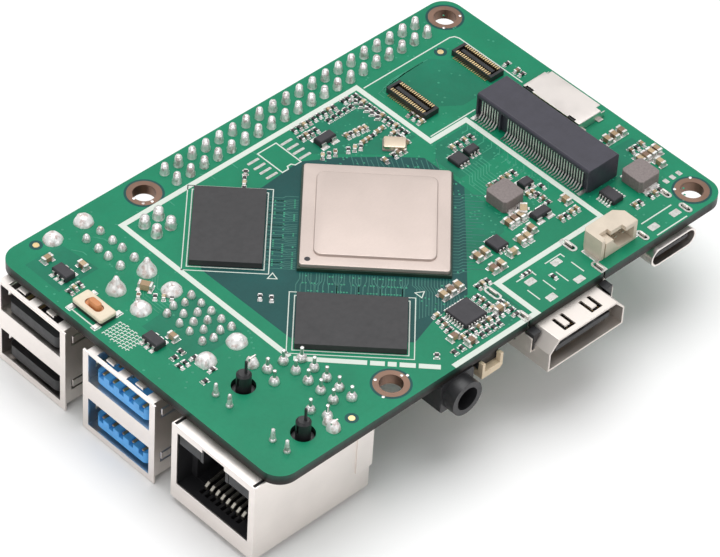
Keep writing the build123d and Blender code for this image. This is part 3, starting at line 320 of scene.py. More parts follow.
# ---- materials ----
class Paint:
    """One node material. Coordinates are the shared frame's, in millimetres."""

    def __init__(self, name, colour, roughness, metallic=0.0):
        self.material = bpy.data.materials.new(name)
        self.material.use_nodes = True
        self.nodes = self.material.node_tree.nodes
        self.links = self.material.node_tree.links
        self.shader = self.nodes["Principled BSDF"]
        self.shader.inputs["Base Color"].default_value = (*colour, 1)
        self.shader.inputs["Roughness"].default_value = roughness
        self.shader.inputs["Metallic"].default_value = metallic
        self.place = self.nodes.new("ShaderNodeTexCoord").outputs["Object"]
        self.place = self.stretched(1 / MM, 1 / MM, 1 / MM)

    def node(self, kind, source, socket, numbers=None):
        """A new node with one socket linked to a source and others set to numbers."""
        node = self.nodes.new(kind)
        for name, number in (numbers or {}).items():
            node.inputs[name].default_value = number
        self.links.new(source, node.inputs[socket])
        return node

    def stretched(self, *scales):
        """The place with each axis at its own scale."""
        return self.node("ShaderNodeMapping", self.place, "Vector", {"Scale": scales}).outputs["Vector"]

    def noise(self, scale, detail=3.0, rough=0.55, place=None):
        numbers = {"Scale": scale, "Detail": detail, "Roughness": rough}
        return self.node("ShaderNodeTexNoise", place or self.place, "Vector", numbers).outputs["Fac"]

    def ramp(self, value, *stops):
        """Colour ramp from (position, colour) stops."""
        node = self.node("ShaderNodeValToRGB", value, "Fac")
        ramp = node.color_ramp
        while len(ramp.elements) < len(stops):
            ramp.elements.new(0.5)
        for element, (position, colour) in zip(ramp.elements, stops):
            element.position = position
            element.color = (*colour, 1)
        return node.outputs["Color"]

    def span(self, value, low, high, out_low=0.0, out_high=1.0):
        """A value between low and high brought to between out_low and out_high."""
        numbers = {"From Min": low, "From Max": high, "To Min": out_low, "To Max": out_high}
        return self.node("ShaderNodeMapRange", value, "Value", numbers).outputs["Result"]

    def mix(self, factor, a, b, mode="MIX"):
        """Two colours, each given or linked, mixed by a factor."""
        node = self.nodes.new("ShaderNodeMix")
        node.data_type = "RGBA"
        node.blend_type = mode
        for socket, value in ((node.inputs[0], factor), (node.inputs[6], a), (node.inputs[7], b)):
            if isinstance(value, tuple):
                socket.default_value = (*value, 1)
            elif isinstance(value, float):
                socket.default_value = value
            else:
                self.links.new(value, socket)
        return node.outputs[2]

    def set(self, name, value):
        self.links.new(value, self.shader.inputs[name])

    def bump(self, height, strength, distance):
        """Distance is in millimetres."""
        numbers = {"Strength": strength, "Distance": distance * MM}
        node = self.node("ShaderNodeBump", height, "Height", numbers)
        old = self.shader.inputs["Normal"]
        if old.is_linked:
            self.links.new(old.links[0].from_socket, node.inputs["Normal"])
        self.links.new(node.outputs["Normal"], old)

    def axis(self, name):
        """One coordinate of the place."""
        return self.node("ShaderNodeSeparateXYZ", self.place, "Vector").outputs[name]

    def island_tone(self):
        """A value of its own for every separate solid of a piece."""
        return self.nodes.new("ShaderNodeNewGeometry").outputs["Random Per Island"]


def toned(colour, factor):
    """A colour made lighter or darker."""
    return tuple(min(1.0, c * factor) for c in colour)


def solder_mask(name, colour, spread=0.12):
    """Semi-gloss mask; the board's cut edge shows mask over resin, and a brown layer low down, all darkened
    nearly to black as painted shade.
    """
    paint = Paint(name, colour, 0.38)
    cloud = paint.noise(0.09, 4, 0.6)
    base = paint.ramp(cloud, (0.3, toned(colour, 1 - spread)), (0.7, toned(colour, 1 + spread)))
    weave = paint.noise(1.6, 5, 0.7)
    base = paint.mix(paint.span(weave, 0.35, 0.7, 0.0, 0.28), base, toned(colour, 0.72))
    normal = paint.nodes.new("ShaderNodeNewGeometry").outputs["True Normal"]
    rise = paint.node("ShaderNodeSeparateXYZ", normal, "Vector").outputs["Z"]
    upright = paint.node("ShaderNodeMath", rise, 0)
    upright.operation = "ABSOLUTE"
    depth = paint.span(paint.axis("Z"), LOWER, UPPER)
    grain = paint.mix(0.25, depth, paint.noise(2.4, 4, 0.6), "LINEAR_LIGHT")
    # Cut edge: dark green high up and brown low down, as the layers are, darkened nearly to black as painted
    # shade.
    edge_layers_and_shade = paint.ramp(grain, (0.25, (0.016, 0.013, 0.011)), (0.45, (0.007, 0.014, 0.011)),
                      (0.85, (0.008, 0.055, 0.036)))
    flat = paint.span(upright.outputs[0], 0.2, 0.5)
    paint.set("Base Color", paint.mix(flat, edge_layers_and_shade, base))
    paint.set("Roughness", paint.span(paint.noise(0.8, 3), 0.3, 0.7, 0.32, 0.46))
    paint.bump(paint.noise(2.2, 4, 0.6), 0.1, 0.015)
    paint.shader.inputs["Specular IOR Level"].default_value = 0.28
    return paint.material


def plated_metal(name, colour, roughness, grain, dull=0.9):
    """Rolled sheet or drawn wire: fine grain, finer along some axes, and cloudy handling marks."""
    paint = Paint(name, colour, roughness, 1.0)
    streak = paint.noise(1.0, 2, 0.5, paint.stretched(*grain))
    cloud = paint.noise(0.2, 3, 0.5)
    base = paint.ramp(cloud, (0.3, toned(colour, dull)), (0.72, colour))
    base = paint.mix(paint.span(streak, 0.35, 0.75, 0.0, 0.1), base, toned(colour, 0.86))
    paint.set("Base Color", base)
    paint.set("Roughness", paint.span(cloud, 0.3, 0.7, roughness * 0.97, roughness * 1.3))
    paint.bump(cloud, 0.05, 0.01)
    return paint.material


def solder(name, colour, dull, metallic=0.65):
    """Tin alloy with a satin skin, a little duller where flux was left."""
    paint = Paint(name, colour, 0.4, metallic)
    cloud = paint.noise(1.3, 3, 0.55)
    paint.set("Base Color", paint.ramp(cloud, (0.36, dull), (0.5, colour)))
    paint.set("Roughness", paint.span(cloud, 0.3, 0.7, 0.42, 0.29))
    paint.bump(cloud, 0.3, 0.1)
    return paint.material


def plastic(name, colour, roughness=0.45, grain=9.0, depth=0.016, tone=0.10, speck=0.0):
    """Moulded plastic: spark-eroded grain, faint flow marks and an uneven gloss."""
    paint = Paint(name, colour, roughness)
    flow = paint.noise(0.5, 4, 0.6)
    base = paint.ramp(flow, (0.3, toned(colour, 1 - tone)), (0.7, toned(colour, 1 + tone)))
    if speck:
        dots = paint.span(paint.noise(14.0, 2, 0.5), 0.58, 0.72, 0.0, speck)
        base = paint.mix(dots, base, toned(colour, 2.2))
    paint.set("Base Color", base)
    paint.set("Roughness", paint.span(paint.noise(1.1, 4), 0.3, 0.7, roughness - 0.07, roughness + 0.1))
    paint.bump(paint.noise(grain, 3, 0.6), 0.3, depth)
    return paint.material


def two_tone(name, low_colour, high_colour, height):
    """Cover of one plastic on a base of another, parted at a height in millimetres."""
    paint = Paint(name, high_colour, 0.42)
    part = paint.span(paint.axis("Z"), height - 0.02, height + 0.02)
    grain = paint.noise(2.0, 3, 0.6)
    cover = paint.ramp(grain, (0.3, toned(high_colour, 0.93)), (0.7, high_colour))
    paint.set("Base Color", paint.mix(part, low_colour, cover))
    paint.bump(grain, 0.2, 0.012)
    return paint.material


def ink(name):
    """Printed legend ink: off-white, thin in places."""
    colour = (0.66, 0.72, 0.655)
    paint = Paint(name, colour, 0.6)
    wear = paint.span(paint.noise(2.6, 6, 0.75), 0.56, 0.74, 0.0, 0.55)
    paint.set("Base Color", paint.mix(wear, colour, (0.33, 0.52, 0.40)))
    paint.bump(paint.noise(6.0, 3), 0.3, 0.012)
    return paint.material


def lid_metal(name):
    """Matte nickel plate on a pressed copper lid."""
    colour = (0.61, 0.515, 0.47)
    paint = Paint(name, colour, 0.45, 0.6)
    cloud = paint.noise(0.16, 3, 0.5)
    fine = paint.noise(1.0, 4, 0.6, paint.stretched(2.4, 7.0, 2.4))
    base = paint.ramp(cloud, (0.3, toned(colour, 0.95)), (0.7, toned(colour, 1.03)))
    paint.set("Base Color", paint.mix(paint.span(fine, 0.4, 0.75, 0.0, 0.12), base, toned(colour, 0.82)))
    paint.set("Roughness", paint.span(fine, 0.3, 0.75, 0.36, 0.5))
    paint.bump(fine, 0.12, 0.012)
    return paint.material


def speckled(name, low, high, roughness, scale=5.0):
    """Pressed powder or fired ceramic, each piece its own shade."""
    paint = Paint(name, low, roughness)
    grains = paint.noise(scale, 5, 0.7)
    base = paint.ramp(grains, (0.32, low), (0.68, high))
    shade_of = paint.span(paint.island_tone(), 0.0, 1.0, 0.0, 0.45)
    paint.set("Base Color", paint.mix(shade_of, base, toned(low, 0.62)))
    paint.set("Roughness", paint.span(grains, 0.3, 0.7, roughness - 0.1, roughness + 0.12))
    paint.bump(grains, 0.35, 0.03)
    return paint.material


def varied(name, roughness, *stops):
    """Small ceramic bodies whose colour changes from piece to piece."""
    paint = Paint(name, stops[0][1], roughness)
    tone = paint.ramp(paint.island_tone(), *stops)
    paint.nodes[-1].color_ramp.interpolation = "CONSTANT"
    grains = paint.noise(7.0, 4, 0.6)
    paint.set("Base Color", paint.mix(paint.span(grains, 0.35, 0.75, 0.0, 0.3), tone, (0.05, 0.04, 0.03)))
    paint.bump(grains, 0.3, 0.015)
    return paint.material


def floor_paint(name):
    """White paper, very slightly cloudy."""
    paint = Paint(name, (0.92, 0.92, 0.92), 0.85)
    cloud = paint.noise(0.004, 3, 0.5)
    paint.set("Base Color", paint.ramp(cloud, (0.3, (0.96, 0.96, 0.96)), (0.7, (0.975, 0.975, 0.975))))
    return paint.material


GREEN = (0.004, 0.222, 0.112)
DEEP_GREEN = (0.006, 0.074, 0.070)
MASK = solder_mask("mask_green", GREEN)
MASK_DEEP = solder_mask("mask_over_laminate", DEEP_GREEN, 0.2)
MASK_MID = solder_mask("mask_over_thin_copper", (0.0045, 0.178, 0.099), 0.18)
TRACE = plastic("mask_over_track", (0.022, 0.27, 0.155), 0.36, 4.0, 0.006, 0.2)
TRACE_DIM = plastic("mask_over_fine_track", (0.022, 0.150, 0.118), 0.38, 4.0, 0.006, 0.2)
INK = ink("legend_ink")
SOLDER = solder("solder", (0.93, 0.91, 0.90), (0.50, 0.44, 0.42))
HEAPED = solder("heaped_solder", (0.97, 0.95, 0.94), (0.68, 0.56, 0.53), 0.35)
TERMINAL = solder("chip_terminals", (0.80, 0.78, 0.75), (0.46, 0.42, 0.39))
LAND = solder("tinned_land", (0.60, 0.60, 0.57), (0.48, 0.46, 0.43))
TIN = plated_metal("tinned_leads", (0.82, 0.80, 0.77), 0.3, (3.0, 3.0, 3.0))
STEEL = plated_metal("shell_steel", (0.90, 0.84, 0.80), 0.3, (0.5, 0.5, 1.6), 0.94)
STEEL_DULL = plated_metal("brushed_steel", (0.80, 0.745, 0.70), 0.46, (0.5, 0.5, 1.6))
STEEL_INSIDE = plated_metal("spring_steel", (0.80, 0.75, 0.70), 0.3, (9.0, 0.8, 9.0))
GOLD = plated_metal("gold_plating", (0.95, 0.72, 0.38), 0.3, (2.0, 2.0, 2.0))
WIRE = plated_metal("contact_wire", (0.95, 0.90, 0.78), 0.3, (2.0, 2.0, 2.0))
COPPER = plated_metal("hole_copper", (0.29, 0.185, 0.14), 0.42, (1.0, 1.0, 1.0), 0.7)
BLACK = plastic("black_plastic", (0.020, 0.020, 0.022), 0.38, tone=0.2)
SLATE = plastic("slate_plastic", (0.042, 0.040, 0.056), 0.42, tone=0.12)
BLUE = plastic("blue_plastic", (0.085, 0.40, 0.86), 0.36)
IVORY = plastic("ivory_plastic", (0.66, 0.57, 0.46), 0.4, 6.0, 0.02, 0.07)
BEIGE = plastic("beige_plastic", (0.74, 0.60, 0.42), 0.4, 7.0, 0.016, 0.08)
CREAM = two_tone("button_plastics", (0.030, 0.028, 0.026), (0.80, 0.70, 0.54), 0.55)
ORANGE = plastic("orange_plastic", (0.60, 0.24, 0.09), 0.4, 8.0, 0.012, 0.14)
SMOKE = plastic("smoky_lamp_plastic", (0.020, 0.021, 0.024), 0.42, 6.0, 0.01, 0.4)
RESIN = plastic("package_resin", (0.033, 0.032, 0.034), 0.5, 4.0, 0.012, 0.10, 0.10)
RESIN_DARK = plastic("small_package_resin", (0.032, 0.030, 0.036), 0.5, 10.0, 0.014, 0.15, 0.08)
LAMINATE = plastic("package_laminate", (0.016, 0.042, 0.026), 0.38, 5.0, 0.01, 0.25)
LID = lid_metal("nickel_lid")
CHOKE = speckled("choke_composite", (0.20, 0.165, 0.16), (0.33, 0.28, 0.27), 0.55, 3.0)
FERRITE = speckled("ferrite", (0.05, 0.045, 0.045), (0.12, 0.11, 0.10), 0.6)
CAPACITOR = varied("capacitor_ceramic", 0.42, (0.0, (0.40, 0.27, 0.15)), (0.35, (0.54, 0.40, 0.24)),
                   (0.6, (0.24, 0.14, 0.09)), (0.8, (0.62, 0.50, 0.32)))
CHIP_BLACK = varied("resistor_film", 0.35, (0.0, (0.018, 0.018, 0.022)), (0.5, (0.035, 0.032, 0.035)),
                    (0.8, (0.06, 0.05, 0.05)))
CAN = plated_metal("crystal_can_metal", (0.86, 0.72, 0.56), 0.3, (2.0, 9.0, 2.0))
BASE = speckled("crystal_base_ceramic", (0.20, 0.18, 0.17), (0.34, 0.31, 0.28), 0.6)


# ---- board surface ----
POUR_T = 0.008
THIN_T = POUR_T * 0.7
TRACK_T = 0.018
VIA_T = 0.026
PAD_T = 0.035
INK_T = 0.03
HOLE_R = frame["record"]["mounts"][0]["dims"]["hole_r_mm"]
HOLES = [(sx * 29.0, sy * 24.5) for sx in (-1, 1) for sy in (-1, 1)]
LID_LOW, LID_HIGH = (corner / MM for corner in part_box("processor_lid"))
SOC = ((LID_LOW.x + LID_HIGH.x) / 2, (LID_LOW.y + LID_HIGH.y) / 2)
DIAGONAL = math.sqrt(0.5)


def soc(u, v):
    """Board point from the processor's own axes, which are turned 45 degrees."""
    return SOC[0] + (u - v) * DIAGONAL, SOC[1] + (u + v) * DIAGONAL


PROCESSOR_FIELD = (
    (-33.3, 8.0), (-33.2, -9.4), (-30.4, -12.2), (-21.2, -21.0), (-16.5, -19.6), (-9.4, -19.0),
    (-5.2, -14.6), (-1.4, -10.6), (5.4, -3.4), (5.4, 4.6), (2.2, 7.6), (-3.0, 12.0), (-8.4, 15.4),
    (-16.0, 14.8), (-22.6, 20.0), (-27.4, 15.0),
)
NEAR_FIELD = ((-5.2, -14.6), (3.2, -13.4), (5.2, -10.8), (5.4, -3.4), (-1.4, -10.6))
THIN_FIELDS = (
    ((-4.0, 20.8), (7.6, 20.8), (7.6, 8.6), (4.0, 8.6), (2.4, 8.0), (-7.6, 17.0)),
    ((6.2, -1.8), (14.7, -1.8), (14.7, 5.6), (8.6, 5.6), (6.2, 3.2)),
    ((14.2, 19.6), (20.6, 19.6), (23.2, 16.8), (23.2, 9.0), (17.4, 9.0), (14.2, 11.4)),
    ((16.2, -16.2), (30.6, -16.2), (30.6, -11.4), (24.4, -11.0), (16.2, -12.0)),
    ((-16.6, -26.6), (-5.8, -26.6), (-5.8, -20.6), (-9.6, -19.4), (-16.6, -19.9)),
    ((-50.6, 24.2), (-44.4, 24.2), (-43.6, 17.2), (-50.6, 17.2)),
    ((-46.6, 5.0), (-37.2, 5.6), (-37.2, -4.6), (-46.6, -4.6)),
)
LOWER_FIELDS = (
    ((-12.0, 17.0), (18.0, 17.0), (22.0, 12.0), (22.0, -6.0), (14.0, -14.0), (-10.0, -14.0)),
    ((-33.0, -7.0), (-22.6, -7.0), (-22.6, -18.4), (-33.0, -18.4)),
)


def pours():
    """Where the mask lies on bare laminate or thin copper it is darker."""
    deep = Build()
    deep.prism(PROCESSOR_FIELD, UPPER, POUR_T)
    deep.piece("mask_processor_field", MASK_DEEP, MASKED)
    mid = Build()
    mid.prism(NEAR_FIELD, UPPER, POUR_T)
    for outline in THIN_FIELDS:
        mid.prism(outline, UPPER, THIN_T)
    mid.piece("mask_thin_fields", MASK_MID, MASKED)
    under = Build()
    for outline in LOWER_FIELDS:
        under.prism(outline, LOWER - POUR_T, LOWER)
    under.piece("mask_lower_fields", MASK_DEEP, MASKED)


def track(build, width, *route):
    """Copper track under the mask of the upper side."""
    build.ribbon(route, width, UPPER, TRACK_T)


def lower_track(build, *route):
    """Copper track under the mask of the lower side."""
    build.ribbon(route, 0.16, LOWER - TRACK_T, LOWER)


def processor_tracks():
    """Fans of fine tracks that leave the processor on its four sides."""
    fine = Build()
    for i in range(42):
        u = -10.2 + i * 0.355
        shift = 0.5 * math.sin(i * 0.9)
        if i % 7 != 5:
            bend = 11.8 + 0.3 * (i % 3)
            track(fine, 0.13, soc(u, 10.7), soc(u, bend), soc(u + shift, 12.9), soc(u + shift, 15.0))
    for i in range(40):
        v = -4.6 + i * 0.375
        shift = 0.5 * math.cos(i * 0.8)
        if i % 6 != 4:
            bend = -11.9 - 0.3 * (i % 3)
            track(fine, 0.13, soc(-10.7, v), soc(bend, v), soc(-13.1, v + shift), soc(-15.3, v + shift))
    for i in range(15):
        v = -5.2 - i * 0.42
        bend = -12.8 - 0.12 * i
        end = -18.8 + 0.22 * i
        track(fine, 0.12, soc(-10.6, v), soc(-12.2, v), soc(bend, v - 0.6), soc(end, v - 0.6))
    for i in range(26):
        u = -9.4 + i * 0.62
        reach = 13.0 + 1.9 * abs(math.sin(i * 1.7))
        track(fine, 0.12, soc(u, -10.6), soc(u, -11.4), soc(u + 0.45, -12.0), soc(u + 0.45, -reach))
    for i in range(18):
        v = -8.6 + i * 0.7
        reach = 12.2 + 1.5 * abs(math.cos(i * 1.3))
        track(fine, 0.12, soc(10.6, v), soc(11.5, v), soc(reach, v + 0.5))
    fine.piece("fine_tracks", TRACE_DIM, MASKED)


def tracks():
    """Copper tracks that stand out faintly through the mask."""
    processor_tracks()
    plain = Build()
    for i in range(8):
        x = 6.4 + i * 0.55
        track(plain, 0.14, (x, -6.6 + 0.2 * i), (x, -3.4), (x + 1.2, -2.2), (x + 1.2, -0.6))
    for i in range(11):
        y = 5.6 - i * 1.6
        end = 13.0 - 0.2 * (i % 4)
        track(plain, 0.14, (16.3, y), (14.9, y), (14.1, y - 0.8), (end, y - 0.8))
    for i in range(9):
        x = -44.0 + i * 3.9
        track(plain, 0.16, (x, 22.4), (x + 0.9, 21.0), (x + 0.9, 20.2 - 0.3 * (i % 3)))
    for i in range(6):
        x = 10.0 + i * 0.7
        track(plain, 0.13, (x, 17.4), (x, 18.6 + 0.2 * i), (16.0 + i * 0.9, 19.4))
    for i in range(7):
        x = -43.2 + i * 0.5
        track(plain, 0.14, (x, 5.4), (x, 9.2), (-41.4 + i * 0.5, 11.0))
    for i in range(5):
        y = 3.4 - i * 0.5
        track(plain, 0.14, (-46.4, y), (-48.6, y), (-49.4, 4.2 - i * 0.5))
    plain.piece("board_tracks", TRACE, MASKED)
    lower = Build()
    for i in range(12):
        x = 1.4 + i * 0.65
        near = -1.0 - 0.2 * i
        far = -4.0 - 0.2 * i
        lower_track(lower, (x, 2.0), (x, near), (x - 3.0, far), (x - 3.0, -12.0))
        near = 12.0 + 0.1 * i
        far = 14.0 + 0.1 * i
        lower_track(lower, (x, 10.4), (x, near), (x - 1.5, far), (x - 1.5, 21.4))
    for i in range(9):
        y = -16.0 + i * 0.7
        lower_track(lower, (-31.6, y), (-33.0, y), (-34.4, y - 1.0))
        x = -18.2 - i * 0.38
        lower_track(lower, (-24.4, y), (x - 1.6, y), (x, y + 1.6), (x, 6.0 + i))
    lower.piece("lower_tracks", TRACE, MASKED)


# Count, x from and to, y from and to, radius.
VIA_FIELDS = (
    (150, 1.5, 15.0, -13.0, 6.0, 0.17),
    (80, -6.0, 8.0, 9.0, 21.0, 0.16),
    (60, -15.5, -6.0, -27.0, -15.0, 0.16),
    (60, 9.5, 31.0, 7.4, 26.0, 0.17),
    (70, 15.0, 31.0, -27.0, -9.0, 0.17),
    (60, -52.0, -36.0, -8.0, 27.0, 0.17),
)
BARE_VIAS = (
    (-30.1, -22.6), (-31.5, -25.6), (-26.9, -24.3), (-26.3, -24.8), (-30.8, 24.6), (-30.5, 23.0),
    (-29.3, 22.5), (27.2, 22.9), (30.9, 23.3), (27.3, -22.8), (30.7, -22.6),
)
FANOUT_SHARE = 0.45


def vias():
    """Tented vias, and the bare ones that stitch the ground."""
    tented = Build()
    for i in range(38):
        for v in (11.2, 12.6, 13.9):
            if draw.random() < FANOUT_SHARE:
                x, y = soc(-10.0 + i * 0.38, v)
                tented.lathe(x, y, [(0.16, UPPER), (0.13, VIA_T), (0, VIA_T)], 8)
    for i in range(36):
        for u in (-11.3, -12.7, -14.2):
            if draw.random() < FANOUT_SHARE:
                x, y = soc(u, -4.4 + i * 0.4)
                tented.lathe(x, y, [(0.16, UPPER), (0.13, VIA_T), (0, VIA_T)], 8)
    for count, x0, x1, y0, y1, radius in VIA_FIELDS:
        for _ in range(count):
            x = draw.uniform(x0, x1)
            y = draw.uniform(y0, y1)
            r = radius * draw.uniform(0.8, 1.15)
            tented.lathe(x, y, [(r, UPPER), (r * 0.85, VIA_T), (0, VIA_T)], 10)
    for i in range(9):
        tented.lathe(13.9, -1.6 - i * 0.75, [(0.2, UPPER), (0.16, VIA_T), (0, VIA_T)], 10)
    tented.piece("tented_vias", TRACE, MASKED, smooth=40)
    bare = Build()
    for x, y in BARE_VIAS:
        bare.lathe(x, y, [(0.24, UPPER), (0.22, 0.07), (0.1, 0.11), (0, 0.11)], 12)
    bare.piece("bare_vias", SOLDER, TINNED, smooth=40)


LAND_R = 2.5
CLEAR_R = 2.85
MARK_R = 0.5


def hole_rings():
    """Plated mounting holes with a bare copper land and a dark clearance ring."""
    land = Build()
    clear = Build()
    for x, y in HOLES:
        for z0, z1 in ((UPPER, PAD_T), (LOWER - PAD_T, LOWER)):
            land.ring(x, y, HOLE_R - 0.02, LAND_R, z0, z1)
        land.ring(x, y, HOLE_R - 0.04, HOLE_R, LOWER, UPPER)
        clear.ring(x, y, LAND_R, CLEAR_R, UPPER, POUR_T)
        clear.ring(x, y, LAND_R, CLEAR_R, LOWER - POUR_T, LOWER)
    land.piece("hole_lands", COPPER, "gold_plate", smooth=40)
    clear.piece("hole_clearances", MASK_DEEP, MASKED)
    marks = Build()
    rings = Build()
    for x, y in ((-47.0, 26.2), (23.1, 19.4), (-37.3, -25.7)):
        marks.lathe(x, y, [(MARK_R, UPPER), (0.47, PAD_T), (0, PAD_T)], 24)
        rings.ring(x, y, MARK_R, 0.95, UPPER, POUR_T)
    marks.piece("alignment_marks", GOLD, "gold_plate", smooth=40)
    rings.piece("alignment_rings", MASK_DEEP, MASKED)


BAND_W = 0.85
BAND_ROUTE = (
    (-35.7, -12.0), (-35.6, 21.55), (8.5, 21.55), (8.5, 6.5), (15.5, 6.5), (15.5, -20.1), (-4.85, -20.1),
    (-4.85, -27.6), (-20.5, -27.6),
)
# Shares of the slanting side of the band that are printed.
BAND_DASHES = ((0.0, 0.5), (0.52, 0.62), (0.64, 0.7), (0.72, 0.83), (0.85, 1.0))


def inked(build, width, route, closed=False):
    """Printed line on the upper side."""
    build.ribbon(route, width, UPPER, INK_T, closed)


def legend():
    """Printed lines: the heavy band round the processor field, and thin part outlines."""
    band = Build()
    inked(band, BAND_W, BAND_ROUTE)
    start = Vector((-35.5, -12.6))
    run = Vector((-21.9, -26.6)) - start
    for a, b in BAND_DASHES:
        inked(band, BAND_W, [tuple(start + run * a), tuple(start + run * b)])
    band.piece("legend_band", INK, MASKED)
    thin = Build()
    for cx, cy, turn in ((-25.2, 11.6, 45.0), (-25.4, -13.1, -45.0)):
        inked(thin, 0.14, rectangle(cx, cy, 17.0, 11.8, turn), closed=True)
        inked(thin, 0.16, rectangle(cx, cy, 15.5, 10.5, turn), closed=True)
    for x, y, turn in ((-27.0, 0.7, 45.0), (-14.2, -14.8, 0.0)):
        mark = [turned(0.75 * math.cos(a), 0.75 * math.sin(a), turn, x, y) for a in (0.0, 2.1, 4.2)]
        inked(thin, 0.14, mark, closed=True)
    inked(thin, 0.2, [(9.2, 20.8), (26.3, 20.8), (27.0, 20.5), (27.3, 19.8), (27.3, 7.0)])
    inked(thin, 0.2, [(9.2, 7.2), (18.0, 7.2)])
    inked(thin, 0.2, [(-11.7, 15.2), (-10.6, 15.2), (-10.3, 15.7), (-9.6, 15.7), (-9.3, 15.2),
                      (-8.2, 15.2), (-8.2, 20.3), (-11.7, 20.3)], closed=True)
    for cx in (-1.2, 4.3):
        for x in (cx - 1.5, cx + 1.5):
            inked(thin, 0.18, [(x, -23.7), (x, -26.1)])
        inked(thin, 0.18, [(cx - 1.5, -21.6), (cx + 1.5, -21.6), (cx + 1.5, -22.4)])
    for y in (-24.7, -27.7):
        inked(thin, 0.2, [(18.6, y), (24.6, y)])
    inked(thin, 0.2, [(-51.5, 8.6), (-51.5, 14.2), (-47.3, 14.2)])
    for i in range(9):
        y = 7.5 - i * 0.56
        for k in range(6):
            x = -51.5 + k * 0.58 + 0.12 * (i % 3)
            inked(thin, 0.15, [(x, y), (x + 0.36, y), (x + 0.36, y - 0.36)])
    thin.piece("legend_lines", INK, MASKED)
    under = Build()
    z0 = LOWER - INK_T
    for box in ((5.0, 6.0, 9.4, 9.4), (-28.0, -13.0, 8.2, 8.2), (-13.8, -16.1, 6.2, 22.6),
                (28.0, 0.0, 6.2, 24.4), (0.0, 24.5, 51.6, 5.7)):
        under.ribbon(rectangle(*box), 0.16, z0, LOWER, closed=True)
    under.ribbon([(-34.6, 20.9), (-29.5, 20.9), (-29.5, 15.7), (-34.6, 15.7)], 0.16, z0, LOWER, closed=True)
    under.piece("lower_legend", INK, MASKED)


def bare_pads():
    """Tinned lands with nothing on them."""
    pads = Build()
    for y in (19.5, 18.2, 17.0, 15.7):
        for x in (-13.25, -6.95):
            pads.slab(x, y, 2.1, 0.44, UPPER, PAD_T, corner=0.1)
    for x, y in ((-1.2, -22.8), (-1.2, -26.8), (4.2, -22.4), (4.2, -26.8), (19.5, -26.2), (23.8, -26.2)):
        pads.slab(x, y, 1.6, 1.1, UPPER, PAD_T, corner=0.12)
    for i in range(3):
        pads.slab(27.6 + i * 1.3, -20.9, 0.7, 0.9, UPPER, PAD_T, corner=0.1)
    pads.piece("bare_pads", LAND, TINNED)


# ---- solder joints ----
HEADER_JOINT_H = 1.5
# Shell tabs at a smaller y than these carry a tall drop, and a pair of domes.
TALL_DROP_Y = 15
DOME_PAIR_Y = -17


def cone_joint(build, x, y, radius, height, fat=1.0):
    """Joint on a square tail: a small fillet drawn up over the pin to a rounded tip."""
    r = radius * draw.uniform(0.97, 1.05)
    h = height * draw.uniform(0.98, 1.04)
    profile = [(r, UPPER), (r * 0.95, 0.1), (r * 0.85, 0.32), (r * 0.79 * fat, h * 0.5),
               (r * 0.74 * fat, h * 0.75), (r * 0.58 * fat, h * 0.9), (r * 0.3, h * 0.98), (0, h)]
    build.lathe(x, y, profile, 18, wobble=0.03)


def dome_joint(build, x, y, radius, height):
    """Low rounded joint round a short pin."""
    r = radius * draw.uniform(0.93, 1.07)
    h = height * draw.uniform(0.92, 1.08)
    profile = [(r, UPPER), (r * 0.98, h * 0.14), (r * 0.86, h * 0.45), (r * 0.62, h * 0.76),
               (r * 0.32, h * 0.95), (0, h)]
    build.lathe(x, y, profile, 20, wobble=0.04)


def round_joint(build, x, y, radius, height):
    """Plump joint, near a ball, on a thin pin that runs on through it."""
    r = radius * draw.uniform(0.95, 1.06)
    h = height * draw.uniform(0.94, 1.06)
    profile = [(r * 0.94, UPPER)]
    for step in range(1, 8):
        angle = math.radians(step * 90 / 8)
        profile.append((r * math.cos(angle) ** 0.8, h * math.sin(angle)))
    build.lathe(x, y, profile + [(0, h)], 22, wobble=0.03)


